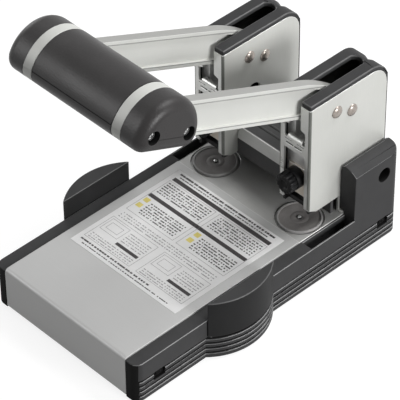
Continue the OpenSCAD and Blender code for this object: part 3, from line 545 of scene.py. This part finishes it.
# what a face is painted with beyond its main or edge finish, if anything
def towerFinish(face):
    s, b = bridgeSlots, bridgePlace
    height = face.center.z / mm
    across, inward = offMiddle(face.center.x), (face.center.y - towerFront) / mm
    # the bridge's front faces take a lighter, shinier steel, painted light on faces the lamps barely reach;
    # its slots take the painted shade of the inside
    if across < b["half"] and b["low"] < height < b["high"] and inward < b["reach"]:
        slot = inward > s["deep"] and any(
            low - s["slack"] < height < high + s["slack"] for left, right, low, high, depth in s["cuts"])
        return "towerInside" if slot else "bridgeSteel"
    # the tower's inner faces are painted dark, as painted shade inside the folded sheet
    inside = across < towerFold["inner"] + b["plateSlack"] and inward > towerFold["sheet"] - b["sheetSlack"]
    return "towerInside" if inside else None


def guideFinish(face):
    # the guide blocks are painted darker on all but their upward faces, which keep the lighter black mould:
    # painted light on the tops, painted shade on the sides
    return "blackMould" if face.material_index == 0 and face.normal.z > faceRules["level"] else None


def armFinish(face):
    # the arms' upward faces behind the grip are painted darker than their sides: painted shade on the tops
    middle = offMiddle(face.center.x) < faceRules["middle"]
    top = middle and face.center.y > gripRear and face.normal.z > faceRules["level"]
    return "armTop" if top else None


def coverFinish(face):
    # grooves, pockets and wells are painted near-black: painted shade in the side covers' hollows
    s = coverPitShade
    c = face.center / mm
    groove = abs(face.normal.z) < s["upright"] and any(
        -s["grooveSlack"] < c.z - z < s["groove"] + s["grooveSlack"] for z in s["grooves"])
    pocket = abs(c.z - s["pocketZ"]) < s["pocketHalf"][1] and any(
        abs(c.y - y) < s["pocketHalf"][0] for y in s["pockets"])
    deep = abs(c.x) < s["face"] or face.area < s["rimArea"] * mm * mm
    well = deep and math.hypot(c.y - s["well"][0], c.z - s["well"][1]) < s["wellRadius"]
    return "pitBlack" if groove or pocket or well else None


painters = {"tower_frame": towerFinish, "guide_block": guideFinish, "arm": armFinish,
            "side_cover": coverFinish}


def paintFaces(mesh, kind, edgeFinish):
    # bevels in the painted-highlight edge finishes that face down, and on the side covers those not facing a
    # side, go back to the main finish, so the painted highlight sits only where the lamps fall
    sideways = edgeRules["sideways"] if kind == "side_cover" else 0.0
    for face in mesh.polygons:
        turned = face.normal.z < edgeRules["upward"] or abs(face.normal.x) < sideways
        if edgeFinish in highlightedEdgeFinishes and face.material_index == 1 and turned:
            face.material_index = 0
        painted = painters[kind](face) if kind in painters else None
        if painted:
            face.material_index = moreNumber[painted]


def weighEdges(mesh, width):
    # each sharp outer edge is rounded as far as its neighbours leave room
    bm = bmesh.new()
    bm.from_mesh(mesh)
    bmesh.ops.dissolve_degenerate(bm, edges=bm.edges, dist=edgeRules["tiny"] * mm)
    weight = bm.edges.layers.float.get("bevel_weight_edge") or bm.edges.layers.float.new("bevel_weight_edge")
    sharp = {e for e in bm.edges if len(e.link_faces) == 2 and e.is_convex
             and e.calc_face_angle(0) > math.radians(edgeRules["sharp"])}
    for e in sharp:
        room = width
        for v in e.verts:
            along = e.other_vert(v).co - v.co
            for n in v.link_edges:
                away = n.other_vert(v).co - v.co
                if n is e or not set(n.link_faces) & set(e.link_faces):
                    continue
                turn = along.angle(away, 0)
                if turn > math.radians(edgeRules["straight"]):
                    continue
                crowded = any(m in sharp for m in n.other_vert(v).link_edges if m is not n)
                share = edgeRules["share" if crowded else "free"]
                room = min(room, away.length / mm * math.sin(turn) * share)
        e[weight] = room / width if room > edgeRules["least"] * width else 0.0
    bm.to_mesh(mesh)
    bm.free()


def settleNormals(piece):
    # flat faces stay flat beside rounded ones
    settle = piece.modifiers.new("normals", "WEIGHTED_NORMAL")
    settle.mode = "FACE_AREA"
    settle.weight = edgeRules["faceWeight"]
    settle.keep_sharp = True


def roundNode(kind, nodeName, width, mainFinish, edgeFinish, slotName):
    bm = cleanCopy(nodeName)
    if kind == "tower_frame":
        roundFolds(bm)
        roundTop(bm)
    if kind == "arm":
        lineArms(bm)
    if kind == "side_cover":
        addGlide(bm, sideOf(nodeName), coverGlide)
    first, *others = nodeName.split("_")
    pieceName = first + "".join(word.title() for word in others)
    piece = pieceFrom(bm, pieceName, edgeRules["sharp"], mainFinish, edgeFinish, *moreFinishes.get(kind, ()))
    if kind == "tower_frame":
        carveWith(piece, bridgeTool(nodeName, bridgeSlots))
    weighEdges(piece.data, width)
    smoothFaces(piece.data, edgeRules["sharp"])
    bevel = piece.modifiers.new("edges", "BEVEL")
    bevel.width = width * mm
    bevel.segments = edgeRules["segments"]
    bevel.limit_method = "WEIGHT"
    bevel.use_clamp_overlap = False
    bevel.material = 1
    settleNormals(piece)
    keepResult(piece)
    paintFaces(piece.data, kind, edgeFinish)
    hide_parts(nodeName)
    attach(piece, nodes[nodeName]["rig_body"])


rounded = 0
for kind, spec in roundedNodes.items():
    for nodeName in bothSides(kind):
        roundNode(kind, nodeName, *spec)
        rounded += 1
print("edges rounded on", rounded, "pieces")


# grip ends: the half-round section, drawn in to a soft edge, with screw wells and a parting line
gripEnd = {"axis": (184.0, 2.7), "inner": 43.8, "outer": 61.3, "radius": 26.5, "keelHalf": 26.2, "keel": 9.0,
           "round": 7.5, "roundSteps": 10, "domeSteps": 72, "cornerSteps": 14, "wellSpots": (-15.5, 15.5),
           "wellLift": 3.0, "wellRadius": 4.8, "wellDepth": 4.6, "wellSteps": 48, "boreRadius": 1.75,
           "past": 1.0, "lineLift": 1.2, "lineHalf": 12.0, "lineWidth": 0.4, "lineDepth": 0.3, "slack": 0.02,
           "innerSlack": 0.1}


def gripSection(spec, inset):
    r, k = spec["radius"] - inset, spec["keel"] - inset
    flat = spec["keelHalf"] - spec["keel"]
    n, m = spec["domeSteps"], spec["cornerSteps"]
    ring = [(r * math.cos(math.pi * i / n), r * math.sin(math.pi * i / n)) for i in range(n + 1)]
    for side, start in ((-1, math.pi), (1, 1.5 * math.pi)):
        turns = [start + math.pi / 2 * i / m for i in range(m + 1)]
        ring += [(side * flat + k * math.cos(a), k * math.sin(a)) for a in turns]
    return ring


def addTube(bm, loops):
    # loops of points joined in turn and closed at both ends
    for a, b in zip(loops, loops[1:]):
        for k in range(len(a)):
            n = (k + 1) % len(a)
            bm.faces.new((a[k], a[n], b[n], b[k]))
    bm.faces.new(loops[0])
    bm.faces.new(loops[-1])


def makeGripEnd(side, sign, spec):
    nodeName = "grip_cap_" + side
    u0, v0 = spec["axis"]
    inner, outer, bend, lift = (spec[k] for k in ("inner", "outer", "round", "wellLift"))

    def spot(x, u, v):
        return Vector((sign * x, *leverPoint(u0 + u, v0 + v))) * mm

    stations = [(inner, 0.0)] + [
        (outer - bend + bend * math.sin(a), bend * (1 - math.cos(a)))
        for a in [math.pi / 2 * i / spec["roundSteps"] for i in range(spec["roundSteps"] + 1)]]
    bm = bmesh.new()
    addTube(bm, [[bm.verts.new(spot(x, u, v)) for u, v in gripSection(spec, inset)] for x, inset in stations])
    bmesh.ops.recalc_face_normals(bm, faces=bm.faces)
    pieceName = "gripCap" + side.title()
    piece = pieceFrom(bm, pieceName, edgeRules["sharp"], "gripSatin", "pitBlack")

    cutter = bmesh.new()
    end = outer + spec["past"]
    turns = [2 * math.pi * k / spec["wellSteps"] for k in range(spec["wellSteps"])]
    for u in spec["wellSpots"]:
        for radius, low in ((spec["wellRadius"], outer - spec["wellDepth"]),
                            (spec["boreRadius"], inner - spec["past"])):
            ring = [(u + radius * math.cos(a), lift + radius * math.sin(a)) for a in turns]
            addTube(cutter, [[cutter.verts.new(spot(x, *point)) for point in ring] for x in (low, end)])
    half, wide = spec["lineHalf"], spec["lineWidth"] / 2
    addBox(cutter, (outer - spec["lineDepth"], -half, spec["lineLift"] - wide),
           (end, half, spec["lineLift"] + wide), spot)
    bmesh.ops.recalc_face_normals(cutter, faces=cutter.faces)
    carveWith(piece, pieceFrom(cutter, pieceName + "Tool", edgeRules["sharp"]), selfCut=True)
    smoothFaces(piece.data, edgeRules["sharp"])
    settleNormals(piece)
    keepResult(piece)
    # the wells' walls and floors take the near-black second finish: painted shade in the hollows
    wells = [spot(0, u, lift) for u in spec["wellSpots"]]
    for face in piece.data.polygons:
        c = face.center
        away = min(math.hypot(c.y - w.y, c.z - w.z) for w in wells)
        sunk = away < (spec["wellRadius"] + spec["slack"]) * mm
        if sunk and inner + spec["innerSlack"] < abs(c.x) / mm < outer - spec["slack"]:
            face.material_index = 1
    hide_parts(nodeName)
    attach(piece, "lever")


# trees of geometry nodes, with named inputs
def startTree(name, wanted):
    tree = bpy.data.node_groups.new(name, "GeometryNodeTree")
    face = tree.interface
    face.new_socket("Geometry", in_out="INPUT", socket_type="NodeSocketGeometry")
    for label, kind in wanted.items():
        face.new_socket(label, in_out="INPUT", socket_type="NodeSocket" + kind)
    face.new_socket("Geometry", in_out="OUTPUT", socket_type="NodeSocketGeometry")
    return tree, addNode(tree, "NodeGroupInput").outputs


def endTree(tree, given, result):
    real = addNode(tree, "GeometryNodeRealizeInstances", {"Geometry": result})
    paint = addNode(tree, "GeometryNodeSetMaterial", {
        "Geometry": real.outputs["Geometry"], "Material": given["Finish"]})
    addNode(tree, "NodeGroupOutput", {"Geometry": paint.outputs["Geometry"]})
    return tree


def spread(tree, points, instance, scale=(1, 1, 1)):
    return addNode(tree, "GeometryNodeInstanceOnPoints", {
        "Points": points, "Instance": instance, "Scale": scale})


def growPiece(name, seed, tree, values):
    piece = addPiece(name, seed)
    growth = piece.modifiers.new("growth", "NODES")
    growth.node_group = tree
    for item in tree.interface.items_tree:
        if item.item_type == "SOCKET" and item.in_out == "INPUT" and item.name in values:
            growth[item.identifier] = values[item.name]
    keepResult(piece)
    return piece


def pointMesh(name, spots):
    mesh = bpy.data.meshes.new(name)
    mesh.from_pydata([s[0] for s in spots], [], [])
    turn = mesh.attributes.new("turn", "FLOAT_VECTOR", "POINT")
    for k, s in enumerate(spots):
        turn.data[k].vector = s[1]
    return mesh


def fastenerTree():
    tree, given = startTree("fastenersOnPoints", {"Head": "Object", "Scale": "Float", "Finish": "Material"})
    shape = addNode(tree, "GeometryNodeObjectInfo", {"Object": given["Head"]})
    turn = addNode(tree, "GeometryNodeInputNamedAttribute", {"Name": "turn"})
    turn.data_type = "FLOAT_VECTOR"
    scatter = spread(tree, given["Geometry"], shape.outputs["Geometry"], given["Scale"])
    feed(tree, scatter, {"Rotation": turn.outputs["Attribute"]})
    return endTree(tree, given, scatter.outputs["Instances"])


fasteners = fastenerTree()


def joinRings(bm, rings):
    # faces between neighbouring rings; a ring of one point makes a fan
    for a, b in zip(rings, rings[1:]):
        steps = max(len(a), len(b))
        for k in range(steps):
            n = (k + 1) % steps
            if len(a) == 1:
                bm.faces.new((a[0], b[k], b[n]))
            elif len(b) == 1:
                bm.faces.new((a[k], b[0], a[n]))
            else:
                bm.faces.new((a[k], b[k], b[n], a[n]))
    bmesh.ops.recalc_face_normals(bm, faces=bm.faces)


def lathe(profile, steps):
    # profile of (radius, height) in mm, turned about Z
    bm = bmesh.new()
    turns = [2 * math.pi * k / steps for k in range(steps)]
    joinRings(bm, [[bm.verts.new((radius * mm * math.cos(a), radius * mm * math.sin(a), height * mm))
                    for a in (turns if radius else turns[:1])] for radius, height in profile])
    return bm


# turned heads: steps round, smoothing angle, taper of a cross recess
headRules = {"steps": 40, "smooth": 35, "taper": 0.7}


def domedHead(top, radius, dome):
    # from the middle to the rim: shares of the radius, drops in mm
    return [(0, top)] + [(radius * share, top - drop) for share, drop in dome]


def crossHead(name, profile, cross):
    # a turned head along Z with a cross recess in its top
    length, width, depth = cross
    head = pieceFrom(lathe(profile, headRules["steps"]), name, headRules["smooth"])
    top = max(h for r, h in profile)
    cutter = bmesh.new()

    def tapered(x, y, z):
        narrow = headRules["taper"] if z < top else 1.0
        return inMetres(x * narrow, y * narrow, z)

    for x, y in ((length / 2, width / 2), (width / 2, length / 2)):
        addBox(cutter, (-x, -y, top - depth), (x, y, top + depth), tapered)
    carveWith(head, pieceFrom(cutter, name + "Tool", headRules["smooth"]), selfCut=True)
    smoothFaces(head.data, headRules["smooth"])
    return head


def scatterHeads(name, head, spots, finish, body, *replaced):
    piece = growPiece(name, pointMesh(name + "Points", spots), fasteners,
                      {"Head": head, "Scale": 1.0, "Finish": made[finish]})
    bpy.data.objects.remove(head)
    for nodeName in replaced:
        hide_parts(nodeName)
    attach(piece, body)


def facingPair(y, z):
    # one spot on the middle plane, turned to the right and to the left
    return [((0, y * mm, z * mm), (0, turn, 0)) for turn in (math.pi / 2, -math.pi / 2)]


# domed rivets through both towers, shank and both heads in one turned shape
towerRivets = {"headRadius": 4.5, "domeHeight": 2.0, "domeSteps": 7, "domeAngle": 82, "skirt": 0.15,
               "tuck": (0.97, 0.01), "steps": 36,
               # name, place, shank radius, node
               "rows": (("pivotRivets", lever["pivot"], 4.0, "lever_pivots"),
                        ("stopRivets", (72.237, 122.12), 2.4, "stop_pins"))}


def rivetProfile(spec, shankRadius):
    half, head, dome = towerFold["half"], spec["headRadius"], spec["domeHeight"]
    crown = [(head * math.sin(a), dome * (math.cos(a) - 1)) for a in
             [k / spec["domeSteps"] * math.radians(spec["domeAngle"]) for k in range(spec["domeSteps"] + 1)]]
    tuckShare, tuckLift = spec["tuck"]
    upper = [(r, half + dome + h) for r, h in crown]
    upper += [(head, half + spec["skirt"]), (head * tuckShare, half + tuckLift), (shankRadius, half)]
    return upper + [(r, -h) for r, h in reversed(upper)]


def makeRivets(spec):
    for label, (y, z), shank, node in spec["rows"]:
        turned = lathe(rivetProfile(spec, shank), spec["steps"])
        shape = pieceFrom(turned, label + "Shape", headRules["smooth"])
        spots = [((s * towerFold["x"] * mm, y * mm, z * mm), (0, math.pi / 2, 0)) for s in (-1, 1)]
        scatterHeads(label, shape, spots, "rivetNickel", "base", node)


makeRivets(towerRivets)


# cross-head screws of the grip ends, deep in their wells
gripScrew = {"along": (168.5, 199.5), "lift": 5.7, "headRadius": 3.6, "seat": 56.7, "headHeight": 2.2,
             "dome": ((0.5, 0.12), (0.82, 0.5), (0.97, 1.1), (1, 1.6)), "shankEnd": 26.2, "shankRadius": 1.7,
             "tip": 1.0, "cross": (4.4, 1.0, 1.3)}


def makeGripScrews(spec):
    r, seat, shank, end = (spec[k] for k in ("headRadius", "seat", "shankRadius", "shankEnd"))
    profile = domedHead(seat + spec["headHeight"], r, spec["dome"]) + [
        (r, seat), (shank, seat), (shank, end), (0, end - spec["tip"])]
    head = crossHead("gripScrewShape", profile, spec["cross"])
    spots = [spot for along in spec["along"] for spot in facingPair(*leverPoint(along, spec["lift"]))]
    scatterHeads("gripScrews", head, spots, "pinSteel", "lever", "grip_screws")


for side, sign in sides.items():
    makeGripEnd(side, sign, gripEnd)
makeGripScrews(gripScrew)


# screws of the side covers: one deep in each rear well, one in each rib pocket, both painted near-black as
# painted shade in their hollows
coverScrew = {"wellX": 57.0, "wellSpot": (104.9, 57.8), "wellRadius": 4.2, "wellHeight": 2.6,
              "wellDome": ((0.6, 0.2), (0.9, 0.8), (1, 1.5)), "wellCross": (4.6, 1.1, 1.3),
              "shankRadius": 2.0, "shankEnd": 53.8,
              "pocketX": 66.0, "pocketSpots": ((-100.0, 16.2), (105.0, 16.2)), "pocketRadius": 2.4,
              "pocketHeight": 1.2, "pocketDome": ((0.6, 0.1), (0.92, 0.4), (1, 0.8)),
              "pocketCross": (2.6, 0.6, 0.5)}


def makeCoverScrews(spec):
    x, r, shank, end = (spec[k] for k in ("wellX", "wellRadius", "shankRadius", "shankEnd"))
    long = domedHead(x + spec["wellHeight"], r, spec["wellDome"])
    long += [(r, x), (shank, x), (shank, end), (0, end)]
    head = crossHead("wellScrewShape", long, spec["wellCross"])
    spots = facingPair(*spec["wellSpot"])
    scatterHeads("wellScrews", head, spots, "pitBlack", "base", "cover_screws")
    x, r = spec["pocketX"], spec["pocketRadius"]
    short = domedHead(x + spec["pocketHeight"], r, spec["pocketDome"]) + [(r, x), (0, x)]
    head = crossHead("pocketScrewShape", short, spec["pocketCross"])
    spots = [spot for place in spec["pocketSpots"] for spot in facingPair(*place)]
    scatterHeads("pocketScrews", head, spots, "pitBlack", "base")


makeCoverScrews(coverScrew)


# the disc pins' crowns, painted near-white as a painted highlight: shares of radius and height
discCrown = {"x": 40.0, "y": 53.8, "radius": 1.3, "height": 0.3, "steps": 28,
             "dome": ((0, 1), (0.5, 0.85), (0.85, 0.45), (1, 0), (1, -1), (0, -1))}


def makeCrowns(spec):
    profile = [(spec["radius"] * r, spec["height"] * h) for r, h in spec["dome"]]
    shape = pieceFrom(lathe(profile, spec["steps"]), "crownShape", headRules["smooth"])
    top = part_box("disc_pins")[1].z
    spots = [((s * spec["x"] * mm, spec["y"] * mm, top), (0, 0, 0)) for s in (-1, 1)]
    scatterHeads("pinCrowns", shape, spots, "rimBright", "base")


makeCrowns(discCrown)
print("screws and rivets placed")


# cutting discs, turned with a raised rim and a shallow dish
discShape = {"rim": 1.4, "dish": 0.6, "hole": 1.25, "steps": 128, "smooth": 40, "chamfer": 0.3, "lip": 0.35,
             "soft": 0.1, "rise": 0.05, "ease": 0.4, "groove": (6.4, 6.2, 6.0), "grooveDepth": 0.06}


def makeDisc(side, spec):
    nodeName = "cutting_disc_" + side
    low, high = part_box(nodeName)
    centre = (low + high) / 2
    outer = (high.x - low.x) / 2 / mm
    base, top = low.z / mm, high.z / mm
    inner, floor = outer - spec["rim"], top - spec["dish"]
    hole, chamfer, lip, soft, ease = (spec[k] for k in ("hole", "chamfer", "lip", "soft", "ease"))
    grooveOut, grooveMid, grooveIn = spec["groove"]
    profile = [(hole, base), (outer - chamfer, base), (outer, base + chamfer), (outer, top - lip),
               (outer - soft, top - soft), (outer - lip, top), (inner + lip, top), (inner + soft, top - soft),
               (inner, top - lip), (inner - soft, floor + spec["rise"]), (inner - ease, floor),
               (grooveOut, floor), (grooveMid, floor - spec["grooveDepth"]), (grooveIn, floor),
               (hole + ease, floor), (hole, floor - chamfer), (hole, base)]
    bm = lathe(profile, spec["steps"])
    bmesh.ops.remove_doubles(bm, verts=bm.verts, dist=weld)
    for v in bm.verts:
        v.co += Vector((centre.x, centre.y, 0))
    grey = "discGrey" + side.title()
    made[grey] = makeDiscFinish(grey, centre, discRings)
    piece = pieceFrom(bm, "cuttingDisc" + side.title(), spec["smooth"], grey, "discEdge")
    for face in piece.data.polygons:
        c = face.center
        if math.hypot(c.x - centre.x, c.y - centre.y) > (inner + spec["rise"]) * mm:
            face.material_index = 1
    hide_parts(nodeName)
    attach(piece, "disc_" + side)


# fluted clamp knobs with a smooth collar behind; rows of distance, radius or drop from the full radius,
# and share of the flutes
knobShape = {"length": 13.6, "flutes": 14, "fluteDepth": 0.8, "fluteCurve": 2.2, "steps": 224, "smooth": 50,
             "collar": 7.2, "studRadius": 2.0, "studChamfer": 0.4,
             "nose": ((1.5, 0, 0), (1.5, 2.6, 0), (1.3, 3.1, 0), (0.35, 3.6, 0), (0.1, 3.9, 0), (0, 4.3, 0.1),
                      (0, 5.6, 0.4), (0.15, 6.4, 0.7), (0.5, 7.1, 0.9)),
             "frontDrops": ((1.0, 0.15, 1), (2.4, 0, 1)),
             "collarDrops": ((-0.9, 0, 1), (-0.3, 0.2, 0.8), (0, 0.9, 0.4), (0.15, 0.7, 0), (0.4, 0.05, 0),
                             (0.8, 0, 0)),
             "rearDrops": ((-0.5, 0, 0), (-0.1, 0.3, 0), (0, 0.7, 0))}


def makeKnob(side, spec):
    nodeName = "knob_" + side
    low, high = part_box(nodeName)
    centre = (low + high) / 2 / mm
    full = (high.z - low.z) / 2 / mm
    front, length = low.y / mm, spec["length"]
    studEnd, stud, chamfer = high.y / mm - front, spec["studRadius"], spec["studChamfer"]
    profile = list(spec["nose"])
    for start, drops in ((0, "frontDrops"), (length - spec["collar"], "collarDrops"), (length, "rearDrops")):
        profile += [(start + s, full - drop, share) for s, drop, share in spec[drops]]
    profile += [(length, stud, 0), (studEnd - chamfer, stud, 0), (studEnd, stud - chamfer, 0),
                (studEnd, 0, 0)]
    turns = [2 * math.pi * k / spec["steps"] for k in range(spec["steps"])]
    waves = [(0.5 - 0.5 * math.cos(spec["flutes"] * a)) ** spec["fluteCurve"] for a in turns]
    bm = bmesh.new()
    rings = []
    for s, radius, share in profile:
        ring = []
        for a, wave in zip(turns if radius else turns[:1], waves):
            q = radius - spec["fluteDepth"] * share * wave
            spot = inMetres(centre.x + q * math.cos(a), front + s, centre.z + q * math.sin(a))
            ring.append(bm.verts.new(spot))
        rings.append(ring)
    joinRings(bm, rings)
    piece = pieceFrom(bm, "knob" + side.title(), spec["smooth"], "knobBlack")
    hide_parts(nodeName)
    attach(piece, nodeName)


# return springs behind the holders, wound by nodes
springShape = {"wire": 1.2, "turns": 8.0, "keep": 0.683, "turnSteps": 32, "wireSteps": 12, "smooth": 60}


def springTree(spec):
    tree, given = startTree("woundSpring", {
        "Height": "Float", "Radius": "Float", "Wire": "Float", "Turns": "Float", "Finish": "Material"})
    path = addNode(tree, "GeometryNodeCurveSpiral", {
        "Resolution": spec["turnSteps"], "Height": given["Height"], "Start Radius": given["Radius"],
        "End Radius": given["Radius"], "Rotations": given["Turns"]})
    ring = addNode(tree, "GeometryNodeCurvePrimitiveCircle", {
        "Resolution": spec["wireSteps"], "Radius": given["Wire"]})
    sweep = addNode(tree, "GeometryNodeCurveToMesh", {
        "Curve": path.outputs["Curve"], "Profile Curve": ring.outputs["Curve"], "Fill Caps": True})
    place = spread(tree, given["Geometry"], sweep.outputs["Mesh"])
    return endTree(tree, given, place.outputs["Instances"])


windings = springTree(springShape)


def makeSpring(side, spec):
    nodeName = "return_spring_" + side
    low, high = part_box(nodeName)
    centre, size, wire = (low + high) / 2, high - low, spec["wire"] * mm / 2
    seed = bpy.data.meshes.new("springFoot")
    seed.from_pydata([(centre.x, centre.y, low.z + wire)], [], [])
    piece = growPiece("returnSpring" + side.title(), seed, windings, {
        "Height": size.z - 2 * wire, "Radius": size.x / 2 - wire, "Wire": wire, "Turns": spec["turns"],
        "Finish": made["pinSteel"]})
    smoothFaces(piece.data, spec["smooth"])
    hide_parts(nodeName)
    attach(piece, "base")
    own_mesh(piece)


for side in sides:
    makeDisc(side, discShape)
    makeKnob(side, knobShape)
    makeSpring(side, springShape)
print("discs, knobs and springs made")


# plain printed rules on the table sheet: bars and dashes, no words
printLayout = {
    "inkDepth": 0.04,
    "lift": 0.005,
    "seedShift": 100,
    "smooth": 30,
    "blocks": [
        # name, left, front, rows, columns, row pitch, column pitch, bar height, shortest, longest, seed, ink
        ("rearTitle", -46.0, 26.8, 1, 36, 2.0, 2.5, 1.5, 0.55, 1.0, 3, "inkDark"),
        ("rearNote", -44.0, 24.1, 1, 38, 2.0, 2.2, 0.9, 0.4, 0.98, 5, "inkDark"),
        ("leftNote", -45.0, 3.4, 6, 18, 2.3, 2.3, 1.0, 0.3, 1.0, 11, "inkDark"),
        ("rightNote", 3.8, 3.4, 6, 18, 2.3, 2.3, 1.0, 0.3, 1.0, 17, "inkDark"),
        ("leftSteps", -38.5, -19.6, 6, 15, 2.3, 2.3, 1.0, 0.3, 1.0, 23, "inkDark"),
        ("rightSteps", 10.2, -19.6, 6, 15, 2.3, 2.3, 1.0, 0.3, 1.0, 29, "inkDark"),
        ("midNote", -45.0, -31.4, 3, 39, 2.3, 2.3, 0.8, 0.3, 0.98, 31, "inkGrey"),
        ("frontTitle", -46.0, -63.6, 1, 26, 2.0, 2.5, 1.3, 0.55, 1.0, 37, "inkDark"),
        ("frontNote", -42.0, -66.6, 1, 36, 2.0, 2.3, 0.8, 0.4, 0.98, 39, "inkDark"),
        ("boxTextLeft", -25.6, -47.4, 5, 9, 2.3, 2.3, 0.7, 0.3, 0.98, 41, "inkGrey"),
        ("boxTextRight", 23.8, -47.4, 5, 9, 2.3, 2.3, 0.7, 0.3, 0.98, 43, "inkGrey"),
        ("boxNoteLeft", -44.4, -58.8, 3, 17, 2.0, 2.3, 0.7, 0.3, 0.98, 47, "inkGrey"),
        ("boxNoteRight", 5.2, -58.8, 3, 17, 2.0, 2.3, 0.7, 0.3, 0.98, 53, "inkGrey"),
    ],
    "bars": [
        # left, front, right, rear, ink
        (-46.0, 18.6, 46.0, 22.0, "inkDark"),
        (-46.0, -3.6, 46.0, -0.4, "inkDark"),
        (-45.0, -9.6, -40.6, -5.4, "inkYellow"),
        (-45.0, -16.4, -40.6, -12.2, "inkYellow"),
        (4.0, -9.6, 8.4, -5.4, "inkYellow"),
        (4.0, -16.4, 8.4, -12.2, "inkYellow"),
        (-25.6, -52.4, -5.0, -49.8, "inkDark"),
        (23.8, -52.4, 44.4, -49.8, "inkDark"),
    ],
    "boxes": [(-46.5, -60.5, -3.0, -34.0), (3.0, -60.5, 46.5, -34.0), (-46.5, -23.0, -1.5, 17.4),
              (1.5, -23.0, 46.5, 17.4), (-44.6, -48.6, -28.0, -35.8), (4.8, -48.6, 21.4, -35.8),
              (-42.0, -45.6, -31.0, -38.8), (7.4, -45.6, 18.4, -38.8)],
    "boxLine": 0.3,
}


def dashTree(spec):
    tree, given = startTree("printedDashes", {
        "Rows": "Int", "Columns": "Int", "Row pitch": "Float", "Column pitch": "Float", "Bar height": "Float",
        "Shortest": "Float", "Longest": "Float", "Ink depth": "Float", "Seed": "Int", "Finish": "Material"})

    def drawn(least, most, seed):
        node = addNode(tree, "FunctionNodeRandomValue", {"Seed": seed})
        node.data_type = "FLOAT"
        ends = [k for k, socket in enumerate(node.inputs) if socket.type == "VALUE"]
        feed(tree, node, {ends[0]: least, ends[1]: most})
        return next(socket for socket in node.outputs if socket.type == "VALUE")

    def span(count, pitch):
        return calc(tree, "MULTIPLY", calc(tree, "SUBTRACT", given[count], 1), given[pitch])

    net = addNode(tree, "GeometryNodeMeshGrid", {
        "Size X": span("Columns", "Column pitch"), "Size Y": span("Rows", "Row pitch"),
        "Vertices X": given["Columns"], "Vertices Y": given["Rows"]})
    length = drawn(given["Shortest"], given["Longest"], given["Seed"])
    size = addNode(tree, "ShaderNodeCombineXYZ", {
        "X": calc(tree, "MULTIPLY", length, given["Column pitch"]), "Y": given["Bar height"],
        "Z": given["Ink depth"]})
    dash = addNode(tree, "GeometryNodeMeshCube", {"Size": (1, 1, 1)})

    # each dash is shoved at random within its own column
    slack = calc(tree, "MULTIPLY", calc(tree, "SUBTRACT", 1, length), given["Column pitch"])
    swing = drawn(-0.5, 0.5, calc(tree, "ADD", given["Seed"], spec["seedShift"]))
    shove = addNode(tree, "ShaderNodeCombineXYZ", {"X": calc(tree, "MULTIPLY", swing, slack)})
    loose = addNode(tree, "GeometryNodeSetPosition", {
        "Geometry": net.outputs["Mesh"], "Offset": shove.outputs["Vector"]})
    rows = spread(tree, loose.outputs["Geometry"], dash.outputs["Mesh"], size.outputs["Vector"])
    place = spread(tree, given["Geometry"], rows.outputs["Instances"])
    return endTree(tree, given, place.outputs["Instances"])


def makePrint(spec):
    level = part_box("table_label")[1].z + spec["lift"] * mm
    dashes = dashTree(spec)
    pieces = []
    for name, left, front, rows, columns, rowPitch, columnPitch, *bar in spec["blocks"]:
        height, shortest, longest, seed, ink = bar
        middle = ((left + (columns - 1) * columnPitch / 2 + columnPitch / 2) * mm,
                  (front + (rows - 1) * rowPitch / 2) * mm, level)
        start = bpy.data.meshes.new(name + "Start")
        start.from_pydata([middle], [], [])
        pieces.append(growPiece("print." + name, start, dashes, {
            "Rows": rows, "Columns": columns, "Row pitch": rowPitch * mm, "Column pitch": columnPitch * mm,
            "Bar height": height * mm, "Shortest": shortest, "Longest": longest,
            "Ink depth": spec["inkDepth"] * mm, "Seed": seed, "Finish": made[ink]}))

    sheets = {ink: bmesh.new() for ink in ("inkDark", "inkGrey", "inkYellow")}
    half = spec["inkDepth"] / 2

    def inkBlock(ink, x0, y0, x1, y1):
        addBox(sheets[ink], (x0, y0, level / mm - half), (x1, y1, level / mm + half))

    for *corners, ink in spec["bars"]:
        inkBlock(ink, *corners)
    line = spec["boxLine"]
    for x0, y0, x1, y1 in spec["boxes"]:
        for strip in ((x0, y0, x1, y0 + line), (x0, y1 - line, x1, y1),
                      (x0, y0 + line, x0 + line, y1 - line), (x1 - line, y0 + line, x1, y1 - line)):
            inkBlock("inkGrey", *strip)
    pieces += [pieceFrom(bm, "print." + ink, spec["smooth"], ink) for ink, bm in sheets.items()]
    for piece in pieces:
        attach(piece, "base")


makePrint(printLayout)
print("table print laid")
